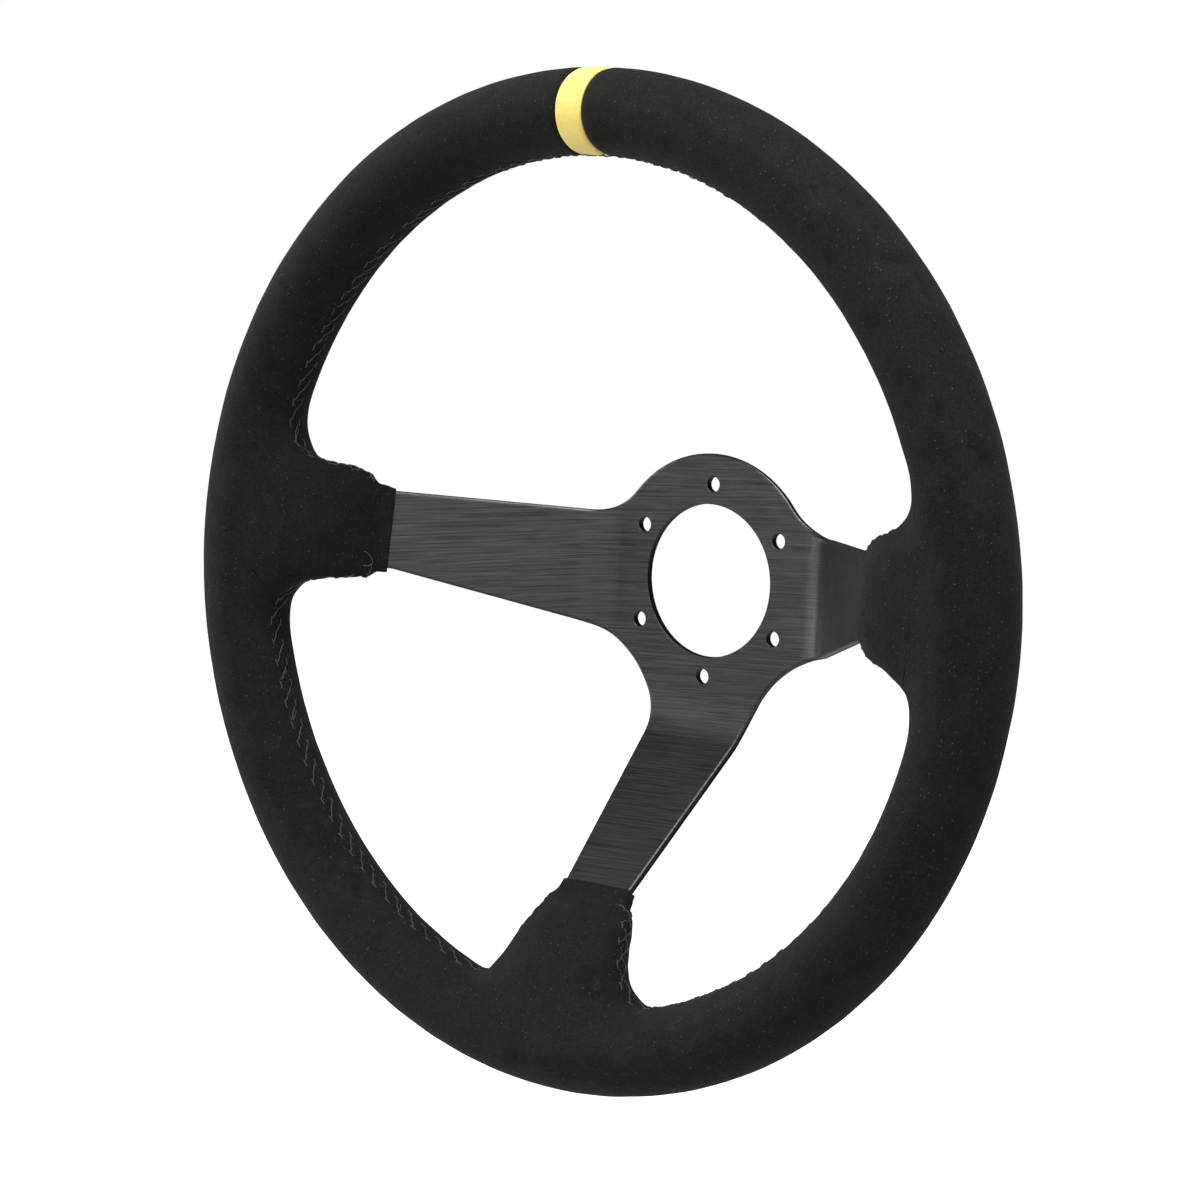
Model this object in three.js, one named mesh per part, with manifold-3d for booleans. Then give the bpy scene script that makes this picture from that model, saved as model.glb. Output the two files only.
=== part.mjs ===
// Deep-dish sport steering wheel: brushed aluminium spoke plate, riveted rim ring, moulded foam grip
// and a laced suede cover with a marker strip at 12 o'clock.
// Millimetres. Origin on the hub axis at the rear face of the hub. +Y points along the steering
// column away from the driver, +Z is up at straight ahead, +X is to the driver's right.
import * as THREE from 'three';
import { mergeVertices } from 'three/addons/utils/BufferGeometryUtils.js';
import Module from 'manifold-3d';

const wasm = await Module();
wasm.setup();

// ---- Driving dimensions ----
const GAP = 0.3;                      // clearance between touching pieces
const OVERCUT = 2;                    // how far a cutting solid runs past what it cuts
const BAR_OVERLAP = 0.5;              // how far a spoke's bar runs into the hub disc it is joined to

// Rim: an elliptical section swept round its own centre, which sits a little above the hub axis.
const RIM_DIAMETER = 350;
const RIM_HALF_RADIAL = 14.6;
const RIM_HALF_AXIAL = 16.3;
const RIM_PLANE_Y = -79;              // dish, from hub rear face to the middle of the rim
const RIM_CENTRE_Z = 2.5;
const RIM_CENTRE_R = RIM_DIAMETER / 2 - RIM_HALF_RADIAL;
const RIM_SEGMENTS = 60;
const SECTION_SEGMENTS = 12;

// Hub disc, made for the common six-bolt hub pattern.
const PLATE_T = 3;
const HUB_R = 46;
const BORE_R = 27.75;
const BOLT_CIRCLE_R = 35;
const BOLT_HOLE_R = 2.75;
const BOLT_COUNT = 6;
const ARC_SEGMENTS = 12;
const BEND_STEPS = 6;
const FILLET_STEPS = 2;               // sections of a spoke from its root bend to its fillets' end

// Spokes: flat at the hub, bent forward at 45 degrees, then bent back flat inside the rim.
const BEND_ANGLE = Math.PI / 4;
const ROOT_BEND_R = 24;
const TIP_BEND_R = 30;
const SIDE_BEND = 50.5;               // hub axis to the root bend, side spokes
const LOWER_BEND = 52;                // the same, lower spoke
const SIDE_TOP = 20.6;                // height of the side spoke's upper edge at its bend
const SIDE_TOP_SLOPE = 0.047;
const SIDE_BOTTOM = -22.4;            // height of its lower edge there
const SIDE_BOTTOM_SLOPE = 0.232;
const LOWER_HALF = 21.1;              // half width of the lower spoke at its bend
const LOWER_TAPER = 0.0895;
const SHOULDER_FILLET_R = 25;         // hub disc into the side spoke's upper edge
const CROTCH_FILLET_R = 40;           // side spoke into the lower spoke
const SIDE_HEM = 127.5;               // length along the plate from the hub axis to the cover's hem
const LOWER_HEM = 126.5;
const FILLET_MARGIN = 1;              // plain edge kept between a fillet's end and the next section
const TAB_END_R = 162.5;              // spoke tab's end, from the rim centre

// Rim ring: a rolled channel, open towards the hub, that takes the spoke tabs between its flanges.
const RING_INNER_R = 153;
const RING_OUTER_R = 167;
const RING_WALL = 2;
const RING_HALF_GAP = PLATE_T / 2 + GAP;
const RING_HALF_AXIAL = RING_HALF_GAP + RING_WALL;

// Rivets, two through each tab and both flanges.
const RIVET_R = 2.4;
const RIVET_HEAD_R = 4.5;
const RIVET_CROWN = 0.6;              // flat top of a rivet head, as a share of its radius
const RIVET_HEAD_H = 1.6;
const RIVET_SPACING = 17;
const RIVET_CIRCLE_R = 158.5;

// Soft parts.
const COVER_T = 1.2;
const SLIT = 0.8;                     // between the cover's laced edges
const MARKER_WIDTH = 11.2;
const THREAD_R = 0.6;
const THREAD_SIDES = 6;
const LACING_STEP = 0.1;              // angle round the rim between points of a lacing's path
const LACING_MARGIN = 0.05;           // angle kept clear where a lacing turns from boss to rim
const LACING_GAP = 0.5;               // clearance between a lacing and the cover
const LACING_CLEAR = 1;               // a lacing leaves a boss this far short of the rim's seam
const BOSS_CENTRE = 10.2;             // height of the side bosses' middle at the hem
const BOSS_RISE = 0.08;               // and how much it climbs per millimetre towards the rim
const LOWER_BOSS_CENTRE = 0.5;        // the same two for the lower boss, towards the driver's right
const LOWER_BOSS_RISE = 0.05;
const BOSS_SIDES = 16;
// Boss round a spoke end: length from the hem, half width, thickness from the middle of the plate
// to the driver's side and to the column side, squareness of the section on those two sides.
const BOSS_STATIONS = [
  [0, 16.8, 3.5, 3.5, 6, 6],
  [6, 16.9, 3.6, 4, 6, 6],
  [8.5, 18.2, 4, 6.5, 4, 3.6],
  [14, 19.6, 5.4, 9.5, 2.6, 3.2],
  [24, 20.9, 8, 13, 2.2, 3],
  [32, 22.2, 9.8, 14.6, 2.2, 3],
  [40, 24, 11, 15.4, 2.2, 2.8],
  [46, 26, 11.6, 15, 2.2, 2.6],
  [52, 28, 11.5, 13.5, 2.2, 2.4],
];
const COLLAR_END = 8.5;               // the foam starts where the thin collar of the cover ends

// ---- Materials ----
const finish = (color, roughness, metalness) => (
  new THREE.MeshStandardMaterial({ color, roughness, metalness })
);
const brushedAluminium = () => finish(0x4a4948, 0.38, 0.9);
const plainAluminium = () => finish(0xa9acae, 0.45, 0.9);
const rivetAluminium = () => finish(0xc0c2c4, 0.4, 0.9);
const foam = () => finish(0x1d1d1e, 0.9, 0);
const suede = () => finish(0x1c1c1b, 0.95, 0);
const yellowSuede = () => finish(0xf2dc62, 0.75, 0);
const threadFinish = () => finish(0x2e2e30, 0.6, 0);

// ---- Solids ----
const signedVolume = (position, index) => {
  const [a, b, c] = [new THREE.Vector3(), new THREE.Vector3(), new THREE.Vector3()];
  let sum = 0;
  for (let i = 0; i < index.length; i += 3) {
    a.fromArray(position, 3 * index[i]);
    b.fromArray(position, 3 * index[i + 1]);
    c.fromArray(position, 3 * index[i + 2]);
    sum += a.dot(b.cross(c));
  }
  return sum / 6;
};

// A closed three.js geometry as a solid with its faces pointing out.
const solid = (geometry) => {
  const bare = geometry.clone();
  bare.deleteAttribute('normal');
  bare.deleteAttribute('uv');
  const merged = mergeVertices(bare, 1e-4);
  const vertProperties = Float32Array.from(merged.attributes.position.array);
  const corners = Array.from(merged.index.array);
  if (signedVolume(vertProperties, corners) < 0) corners.reverse();
  const triVerts = Uint32Array.from(corners);
  return new wasm.Manifold(new wasm.Mesh({ numProp: 3, vertProperties, triVerts }));
};

const geometryOf = (manifold) => {
  const { vertProperties, triVerts } = manifold.getMesh();
  const geometry = new THREE.BufferGeometry();
  geometry.setAttribute('position', new THREE.BufferAttribute(vertProperties, 3));
  geometry.setIndex(new THREE.BufferAttribute(triVerts, 1));
  geometry.computeVertexNormals();
  return geometry;
};

const union = (first, ...rest) => rest.reduce((sum, next) => sum.add(next), first);

const wheel = new THREE.Group();
const addPiece = (name, manifold, material) => {
  const mesh = new THREE.Mesh(geometryOf(manifold), material);
  mesh.name = name;
  wheel.add(mesh);
};

// ---- Spoke path: the middle of the plate seen from the side, by length from the hub axis ----
const rootTangent = ROOT_BEND_R * Math.tan(BEND_ANGLE / 2);
const tipTangent = TIP_BEND_R * Math.tan(BEND_ANGLE / 2);
const drop = -PLATE_T / 2 - RIM_PLANE_Y;

const spokePath = (bend) => {
  const tipCorner = bend + drop / Math.tan(BEND_ANGLE);
  const rootStart = bend - rootTangent;
  const rootEnd = rootStart + ROOT_BEND_R * BEND_ANGLE;
  const tipStart = rootEnd + drop / Math.sin(BEND_ANGLE) - rootTangent - tipTangent;
  const tipEnd = tipStart + TIP_BEND_R * BEND_ANGLE;
  const at = (s) => {
    let rho = s;
    let y = -PLATE_T / 2;
    let tilt = 0;
    if (s > tipEnd) {
      rho = tipCorner + tipTangent + s - tipEnd;
      y = RIM_PLANE_Y;
    } else if (s > tipStart) {
      tilt = (tipEnd - s) / TIP_BEND_R;
      rho = tipCorner + tipTangent - TIP_BEND_R * Math.sin(tilt);
      y = RIM_PLANE_Y + TIP_BEND_R * (1 - Math.cos(tilt));
    } else if (s > rootEnd) {
      tilt = BEND_ANGLE;
      const run = rootTangent + s - rootEnd;
      rho = bend + run * Math.cos(tilt);
      y -= run * Math.sin(tilt);
    } else if (s > rootStart) {
      tilt = (s - rootStart) / ROOT_BEND_R;
      rho = rootStart + ROOT_BEND_R * Math.sin(tilt);
      y -= ROOT_BEND_R * (1 - Math.cos(tilt));
    }
    return { rho, y, tilt };
  };
  const lengthAt = (rho) => tipEnd + rho - tipCorner - tipTangent;
  return { at, rootStart, rootEnd, tipStart, tipEnd, lengthAt };
};

// A point beside the path: v across the spoke, n out of the plate towards the column.
const besidePath = (spoke, s, v, n) => {
  const { rho, y, tilt } = spoke.path.at(s);
  const out = rho + n * Math.sin(tilt);
  return new THREE.Vector3(spoke.out.x * out + spoke.across.x * v, y + n * Math.cos(tilt),
    spoke.out.z * out + spoke.across.z * v);
};

// ---- Plate edges ----
const sideTopLine = (s) => SIDE_TOP + SIDE_TOP_SLOPE * (s - SIDE_BEND);
const sideBottomLine = (s) => SIDE_BOTTOM + SIDE_BOTTOM_SLOPE * (s - SIDE_BEND);
const lowerLine = (s) => LOWER_HALF - LOWER_TAPER * (s - LOWER_BEND);

// Centre of the fillet that touches the hub disc and the side spoke's upper edge.
const shoulder = (() => {
  const reach = HUB_R + SHOULDER_FILLET_R;
  const lift = SHOULDER_FILLET_R * Math.hypot(1, SIDE_TOP_SLOPE) + sideTopLine(0);
  const a = 1 + SIDE_TOP_SLOPE ** 2;
  const b = SIDE_TOP_SLOPE * lift;
  const x = (-b + Math.sqrt(b * b - a * (lift * lift - reach * reach))) / a;
  const tangentX = x + SHOULDER_FILLET_R * Math.sin(Math.atan(SIDE_TOP_SLOPE));
  return { x, z: lift + SIDE_TOP_SLOPE * x, tangentX };
})();

// Centre of the fillet that touches the side spoke's lower edge and the lower spoke's edge.
const crotch = (() => {
  const fall = sideBottomLine(0) - CROTCH_FILLET_R * Math.hypot(1, SIDE_BOTTOM_SLOPE);
  const clear = lowerLine(0) + CROTCH_FILLET_R * Math.hypot(1, LOWER_TAPER);
  const x = (clear + LOWER_TAPER * fall) / (1 - LOWER_TAPER * SIDE_BOTTOM_SLOPE);
  const z = fall + SIDE_BOTTOM_SLOPE * x;
  return {
    x,
    z,
    tangentX: x - CROTCH_FILLET_R * Math.sin(Math.atan(SIDE_BOTTOM_SLOPE)),
    tangentS: -z + CROTCH_FILLET_R * Math.sin(Math.atan(LOWER_TAPER)),
  };
})();

const sideTop = (s) => (s > shoulder.tangentX ? sideTopLine(s)
  : shoulder.z - Math.sqrt(SHOULDER_FILLET_R ** 2 - (s - shoulder.x) ** 2));
// Past the hem the spoke keeps its width, so the lower edge runs beside the upper one.
const sideBottom = (s) => {
  if (s > SIDE_HEM) return sideBottomLine(SIDE_HEM) + SIDE_TOP_SLOPE * (s - SIDE_HEM);
  if (s > crotch.tangentX) return sideBottomLine(s);
  return crotch.z + Math.sqrt(CROTCH_FILLET_R ** 2 - (s - crotch.x) ** 2);
};
const lowerEdge = (s) => {
  if (s > LOWER_HEM) return lowerLine(LOWER_HEM);
  if (s > crotch.tangentS) return lowerLine(s);
  return crotch.x - Math.sqrt(CROTCH_FILLET_R ** 2 - (s + crotch.z) ** 2);
};

const RIGHT = new THREE.Vector3(1, 0, 0);
const UP = new THREE.Vector3(0, 0, 1);
const sideSpoke = (name, out) => ({
  name,
  out,
  across: UP,
  path: spokePath(SIDE_BEND),
  high: sideTop,
  low: sideBottom,
  hem: SIDE_HEM,
  bossCentre: (e) => BOSS_CENTRE + BOSS_RISE * e,
  rimOffset: 0,
  filletEnd: Math.max(shoulder.tangentX, crotch.tangentX) + FILLET_MARGIN,
});
// rimOffset turns a distance from the rim's centre into one from the hub axis, along the spoke.
const spokes = [
  sideSpoke('right', RIGHT),
  sideSpoke('left', RIGHT.clone().negate()),
  {
    name: 'lower',
    out: UP.clone().negate(),
    across: RIGHT,
    path: spokePath(LOWER_BEND),
    high: lowerEdge,
    low: (s) => -lowerEdge(s),
    hem: LOWER_HEM,
    bossCentre: (e) => LOWER_BOSS_CENTRE + LOWER_BOSS_RISE * e,
    rimOffset: -RIM_CENTRE_Z,
    filletEnd: crotch.tangentS + FILLET_MARGIN,
  },
];

// ---- Spoke plate ----
const spaced = (from, to, steps) => (
  Array.from({ length: steps }, (_, i) => from + ((to - from) * i) / steps)
);

// A flat bar along a spoke's path, its two edges and its thickness given by functions of length.
const pathBar = (spoke, stations, high, low, half) => {
  const steps = stations.length - 1;
  const geometry = new THREE.BoxGeometry(1, 1, 1, steps, 1, 1);
  const position = geometry.attributes.position;
  for (let i = 0; i < position.count; i += 1) {
    const s = stations[Math.round((position.getX(i) + 0.5) * steps)];
    const v = position.getY(i) > 0 ? high(s) : low(s);
    const n = position.getZ(i) > 0 ? half : -half;
    position.setXYZ(i, ...besidePath(spoke, s, v, n).toArray());
  }
  return solid(geometry);
};

const spokeStations = (spoke, from, to) => {
  const { path: { rootStart, rootEnd, tipStart, tipEnd }, filletEnd } = spoke;
  return [
    from,
    ...spaced(rootStart, rootEnd, BEND_STEPS),
    ...spaced(rootEnd, filletEnd, FILLET_STEPS),
    filletEnd,
    spoke.hem,
    ...spaced(tipStart, tipEnd, BEND_STEPS),
    tipEnd,
    to,
  ].filter((s, i, all) => s >= from && (i === 0 || s > all[i - 1] + 1e-6));
};

const cylinderAlongY = (radius, fromY, toY, x, z, sides) => {
  const geometry = new THREE.CylinderGeometry(radius, radius, toY - fromY, sides);
  geometry.translate(x, (fromY + toY) / 2, z);
  return solid(geometry);
};

const tabEnd = (spoke) => spoke.path.lengthAt(TAB_END_R + spoke.rimOffset);

const rivetPlaces = spokes.flatMap((spoke) => [1, 2].map((number) => {
  const s = spoke.path.lengthAt(RIVET_CIRCLE_R + spoke.rimOffset);
  const middle = (spoke.high(s) + spoke.low(s)) / 2;
  const point = besidePath(spoke, s, middle + (number - 1.5) * RIVET_SPACING, 0);
  return { name: `rivet_${spoke.name}_${number}`, x: point.x, z: point.z };
}));
const rivetHole = ({ x, z }) => cylinderAlongY(RIVET_R + GAP, RIM_PLANE_Y - RING_HALF_AXIAL - OVERCUT,
  RIM_PLANE_Y + RING_HALF_AXIAL + OVERCUT, x, z, ARC_SEGMENTS);

const hubOutline = () => {
  const sideCut = spokes[0].path.rootStart;
  const lowerCut = spokes[2].path.rootStart;
  const angleTo = (centre, x, z) => Math.atan2(z - centre.z, x - centre.x);
  const shoulderCut = angleTo(shoulder, sideCut, sideTop(sideCut));
  const hubTouch = Math.atan2(shoulder.z, shoulder.x);
  const crotchSide = angleTo(crotch, sideCut, sideBottom(sideCut));
  const crotchLower = angleTo(crotch, lowerEdge(lowerCut), -lowerCut);
  const shape = new THREE.Shape();
  shape.moveTo(sideCut, sideBottom(sideCut));
  shape.lineTo(sideCut, sideTop(sideCut));
  shape.absarc(shoulder.x, shoulder.z, SHOULDER_FILLET_R, shoulderCut, hubTouch - Math.PI, true);
  shape.absarc(0, 0, HUB_R, hubTouch, Math.PI - hubTouch, false);
  shape.absarc(-shoulder.x, shoulder.z, SHOULDER_FILLET_R, -hubTouch, -Math.PI - shoulderCut, true);
  shape.lineTo(-sideCut, sideBottom(sideCut));
  shape.absarc(-crotch.x, crotch.z, CROTCH_FILLET_R, Math.PI - crotchSide, Math.PI - crotchLower, true);
  shape.lineTo(lowerEdge(lowerCut), -lowerCut);
  shape.absarc(crotch.x, crotch.z, CROTCH_FILLET_R, crotchLower, crotchSide, true);
  const bore = new THREE.Path();
  for (let quarter = 0; quarter < 4; quarter += 1) {
    bore.absarc(0, 0, BORE_R, (quarter * Math.PI) / 2, ((quarter + 1) * Math.PI) / 2, false);
  }
  shape.holes.push(bore);
  for (let bolt = 0; bolt < BOLT_COUNT; bolt += 1) {
    const angle = Math.PI / 2 + (bolt * 2 * Math.PI) / BOLT_COUNT;
    const [x, z] = [BOLT_CIRCLE_R * Math.cos(angle), BOLT_CIRCLE_R * Math.sin(angle)];
    const hole = new THREE.Path();
    hole.absarc(x, z, BOLT_HOLE_R, 0, 2 * Math.PI, false);
    shape.holes.push(hole);
  }
  return shape;
};

const spokePlate = () => {
  const hub = new THREE.ExtrudeGeometry(hubOutline(),
    { depth: PLATE_T, bevelEnabled: false, curveSegments: ARC_SEGMENTS });
  hub.rotateX(Math.PI / 2);
  const bars = spokes.map((spoke) => {
    const stations = spokeStations(spoke, spoke.path.rootStart - BAR_OVERLAP, tabEnd(spoke));
    return pathBar(spoke, stations, spoke.high, spoke.low, PLATE_T / 2);
  });
  const blank = union(solid(hub), ...bars);
  return rivetPlaces.reduce((plate, place) => plate.subtract(rivetHole(place)), blank);
};

// ---- Turned parts of the rim ----
const lathe = (profile, segments) => {
  const outline = [...profile, profile[0]].map(([r, y]) => new THREE.Vector2(r, y));
  const geometry = new THREE.LatheGeometry(outline, segments);
  geometry.translate(0, RIM_PLANE_Y, RIM_CENTRE_Z);
  return solid(geometry);
};

const rectangleProfile = (innerR, outerR, half) => [
  [innerR, -half],
  [outerR, -half],
  [outerR, half],
  [innerR, half],
];

const rimRing = () => {
  const channel = lathe([
    [RING_INNER_R, -RING_HALF_AXIAL],
    [RING_OUTER_R, -RING_HALF_AXIAL],
    [RING_OUTER_R, RING_HALF_AXIAL],
    [RING_INNER_R, RING_HALF_AXIAL],
    [RING_INNER_R, RING_HALF_GAP],
    [RING_OUTER_R - RING_WALL, RING_HALF_GAP],
    [RING_OUTER_R - RING_WALL, -RING_HALF_GAP],
    [RING_INNER_R, -RING_HALF_GAP],
  ], RIM_SEGMENTS);
  return rivetPlaces.reduce((ring, place) => ring.subtract(rivetHole(place)), channel);
};

const rivet = ({ x, z }) => {
  const headStart = RING_HALF_AXIAL + GAP;
  const geometry = new THREE.LatheGeometry([
    [0, -headStart - RIVET_HEAD_H],
    [RIVET_HEAD_R * RIVET_CROWN, -headStart - RIVET_HEAD_H],
    [RIVET_HEAD_R, -headStart],
    [RIVET_R, -headStart],
    [RIVET_R, headStart],
    [RIVET_HEAD_R, headStart],
    [RIVET_HEAD_R * RIVET_CROWN, headStart + RIVET_HEAD_H],
    [0, headStart + RIVET_HEAD_H],
  ].map(([r, y]) => new THREE.Vector2(r, y)), ARC_SEGMENTS);
  geometry.translate(x, RIM_PLANE_Y, z);
  return solid(geometry);
};

// ---- Grip: rim section and three bosses, all drawn in by the same inset ----
const rimTorus = (inset) => lathe(Array.from({ length: SECTION_SEGMENTS }, (_, i) => {
  const t = (2 * Math.PI * i) / SECTION_SEGMENTS;
  return [RIM_CENTRE_R + (RIM_HALF_RADIAL - inset) * Math.cos(t), (RIM_HALF_AXIAL - inset) * Math.sin(t)];
}), RIM_SEGMENTS);

const bossAt = (e) => {
  const last = BOSS_STATIONS.length - 1;
  const i = Math.min(Math.max(BOSS_STATIONS.findIndex(([start]) => start > e) - 1, 0), last - 1);
  const [from, to] = [BOSS_STATIONS[i], BOSS_STATIONS[i + 1]];
  const t = Math.max((e - from[0]) / (to[0] - from[0]), 0);
  return from.map((value, k) => value + (to[k] - value) * Math.min(t, 1));
};

// A signed power, with the rounding error of sines and cosines near zero taken off.
const power = (value, exponent) => (
  Math.abs(value) < 1e-9 ? 0 : Math.sign(value) * Math.abs(value) ** exponent
);

// A boss from a given length past the hem to its root in the rim, its sections across the path.
const boss = (spoke, inset, start) => {
  const stations = [start, ...BOSS_STATIONS.map(([e]) => e).filter((e) => e > start)];
  const steps = stations.length - 1;
  const geometry = new THREE.CylinderGeometry(1, 1, 1, BOSS_SIDES, steps);
  const position = geometry.attributes.position;
  for (let i = 0; i < position.count; i += 1) {
    const e = stations[Math.round((position.getY(i) + 0.5) * steps)];
    const [, halfWidth, front, back, frontSquareness, backSquareness] = bossAt(e);
    const reach = Math.hypot(position.getX(i), position.getZ(i));
    const t = Math.atan2(position.getZ(i), position.getX(i));
    const [thick, squareness] = t > 0 ? [back, backSquareness] : [front, frontSquareness];
    const v = reach * (halfWidth - inset) * power(Math.cos(t), 2 / squareness);
    const n = reach * (thick - inset) * power(Math.sin(t), 2 / squareness);
    position.setXYZ(i, ...besidePath(spoke, spoke.hem + e, spoke.bossCentre(e) + v, n).toArray());
  }
  return solid(geometry);
};

const gripBody = (inset, start) => (
  union(rimTorus(inset), ...spokes.map((spoke) => boss(spoke, inset, start)))
);

const foamGrip = () => {
  let body = gripBody(COVER_T + GAP, COLLAR_END);
  const ringRoom = rectangleProfile(RING_INNER_R - GAP, RING_OUTER_R + GAP, RING_HALF_AXIAL + GAP);
  body = body.subtract(lathe(ringRoom, RIM_SEGMENTS));
  for (const spoke of spokes) {
    const stations = spokeStations(spoke, spoke.hem, tabEnd(spoke));
    body = body.subtract(pathBar(spoke, stations, (s) => spoke.high(s) + GAP, (s) => spoke.low(s) - GAP,
      PLATE_T / 2 + GAP));
  }
  const headRoom = RING_HALF_AXIAL + 2 * GAP + RIVET_HEAD_H;
  return rivetPlaces.reduce((rest, { x, z }) => rest.subtract(cylinderAlongY(RIVET_HEAD_R + GAP,
    RIM_PLANE_Y - headRoom, RIM_PLANE_Y + headRoom, x, z, ARC_SEGMENTS)), body);
};

// Everything within a given distance of the vertical mid plane, at the top of the rim.
const topBlock = (halfWidth) => {
  const geometry = new THREE.BoxGeometry(2 * halfWidth, 2 * RIM_HALF_AXIAL + 2 * OVERCUT,
    2 * RIM_HALF_RADIAL + 2 * OVERCUT);
  geometry.translate(0, RIM_PLANE_Y, RIM_CENTRE_Z + RIM_CENTRE_R);
  return solid(geometry);
};

// The skin, parted where its edges are laced: inside the rim and down both edges of each boss.
const skin = () => {
  let shell = gripBody(0, 0).subtract(gripBody(COVER_T, -OVERCUT));
  const rimSlit = rectangleProfile(RIM_CENTRE_R - 2 * RIM_HALF_RADIAL, RIM_CENTRE_R, SLIT / 2);
  shell = shell.subtract(lathe(rimSlit, RIM_SEGMENTS));
  for (const spoke of spokes) {
    const reach = 2 * BOSS_STATIONS[0][1];
    const { tipStart, tipEnd } = spoke.path;
    const start = spoke.hem - OVERCUT;
    const end = spoke.path.lengthAt(RIM_CENTRE_R);
    const stations = [start, ...spaced(tipStart, tipEnd, BEND_STEPS), tipEnd, end];
    const middle = (s) => spoke.bossCentre(s - spoke.hem);
    const slit = pathBar(spoke, stations, (s) => middle(s) + reach, (s) => middle(s) - reach, SLIT / 2);
    shell = shell.subtract(slit);
  }
  return shell;
};

// ---- Lacing ----
const bossEdge = (spoke, side, e) => besidePath(spoke, spoke.hem + e,
  spoke.bossCentre(e) + side * (bossAt(e)[1] + LACING_GAP + THREAD_R), 0);
const rimAngle = (point) => Math.atan2(point.z - RIM_CENTRE_Z, point.x);
const seamR = RIM_CENTRE_R - RIM_HALF_RADIAL - LACING_GAP - THREAD_R;

// From one boss's hem along its edge, round the rim and back to the next boss's hem.
const lacingPath = ([spokeA, sideA], [spokeB, sideB]) => {
  const edge = (spoke, side) => BOSS_STATIONS.map(([e]) => bossEdge(spoke, side, e))
    .filter((point) => Math.hypot(point.x, point.z - RIM_CENTRE_Z) < seamR - LACING_CLEAR);
  const leaving = edge(spokeA, sideA);
  const arriving = edge(spokeB, sideB).reverse();
  const from = rimAngle(leaving.at(-1));
  const turn = THREE.MathUtils.euclideanModulo(rimAngle(arriving[0]) - from, 2 * Math.PI);
  const steps = Math.round(turn / LACING_STEP);
  const round = Array.from({ length: steps + 1 }, (_, i) => {
    const angle = from + LACING_MARGIN + ((turn - 2 * LACING_MARGIN) * i) / steps;
    const [x, z] = [seamR * Math.cos(angle), RIM_CENTRE_Z + seamR * Math.sin(angle)];
    return new THREE.Vector3(x, RIM_PLANE_Y, z);
  });
  return [...leaving, ...round, ...arriving];
};

const lacing = (points) => {
  const section = new THREE.Shape();
  section.absarc(0, 0, THREAD_R, 0, 2 * Math.PI, false);
  const geometry = new THREE.ExtrudeGeometry(section, {
    steps: points.length,
    curveSegments: THREAD_SIDES,
    bevelEnabled: false,
    extrudePath: new THREE.CatmullRomCurve3(points, false, 'centripetal'),
  });
  return solid(geometry);
};

// ---- The assembly ----
const [right, left, lower] = spokes;
const cover = skin();
addPiece('spoke_plate', spokePlate(), brushedAluminium());
addPiece('rim_ring', rimRing(), plainAluminium());
rivetPlaces.forEach((place) => addPiece(place.name, rivet(place), rivetAluminium()));
addPiece('foam_grip', foamGrip(), foam());
addPiece('suede_cover', cover.subtract(topBlock(MARKER_WIDTH / 2 + GAP)), suede());
addPiece('centre_marker', cover.intersect(topBlock(MARKER_WIDTH / 2)), yellowSuede());
addPiece('lacing_top', lacing(lacingPath([right, 1], [left, 1])), threadFinish());
addPiece('lacing_lower_left', lacing(lacingPath([left, -1], [lower, -1])), threadFinish());
addPiece('lacing_lower_right', lacing(lacingPath([lower, 1], [right, -1])), threadFinish());

export default wheel;
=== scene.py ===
import math

import bmesh
import bpy
import numpy as np
from mathutils import Matrix, Vector
from mathutils.bvhtree import BVHTree
from mathutils.geometry import delaunay_2d_cdt
from mathutils.kdtree import KDTree


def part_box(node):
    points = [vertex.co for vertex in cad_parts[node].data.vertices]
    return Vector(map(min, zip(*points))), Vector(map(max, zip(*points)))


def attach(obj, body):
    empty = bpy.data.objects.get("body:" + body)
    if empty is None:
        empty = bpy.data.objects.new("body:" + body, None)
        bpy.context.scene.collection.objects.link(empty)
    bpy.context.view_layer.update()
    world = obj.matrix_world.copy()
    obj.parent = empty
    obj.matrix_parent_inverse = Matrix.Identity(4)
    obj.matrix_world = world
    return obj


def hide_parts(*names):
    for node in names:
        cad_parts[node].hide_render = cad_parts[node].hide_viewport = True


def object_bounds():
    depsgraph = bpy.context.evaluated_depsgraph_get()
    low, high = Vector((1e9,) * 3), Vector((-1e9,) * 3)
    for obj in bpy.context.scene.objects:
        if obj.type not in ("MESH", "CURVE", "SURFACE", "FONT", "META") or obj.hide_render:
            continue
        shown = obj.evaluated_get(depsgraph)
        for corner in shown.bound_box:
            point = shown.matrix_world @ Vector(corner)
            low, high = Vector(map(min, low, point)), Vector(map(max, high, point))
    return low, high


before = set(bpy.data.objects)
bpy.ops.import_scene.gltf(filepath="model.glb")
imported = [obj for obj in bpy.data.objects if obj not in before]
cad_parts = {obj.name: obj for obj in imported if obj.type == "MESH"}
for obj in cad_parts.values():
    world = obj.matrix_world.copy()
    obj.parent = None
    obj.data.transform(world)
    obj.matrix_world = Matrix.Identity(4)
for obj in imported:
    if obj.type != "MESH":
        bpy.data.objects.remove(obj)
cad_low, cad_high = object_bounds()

# Deep-dish sport steering wheel in a suede cover. Lengths below are in millimetres, in the row frame:
# the hub axis is Y, the driver is at -Y, and +Z is up at straight ahead.
MM = 0.001

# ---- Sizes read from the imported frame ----


def box_mm(node):
    low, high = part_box(node)
    return np.array(low) / MM, np.array(high) / MM


ring_low, ring_high = box_mm("rim_ring")
cover_low, cover_high = box_mm("suede_cover")
plate_low, plate_high = box_mm("spoke_plate")

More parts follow.
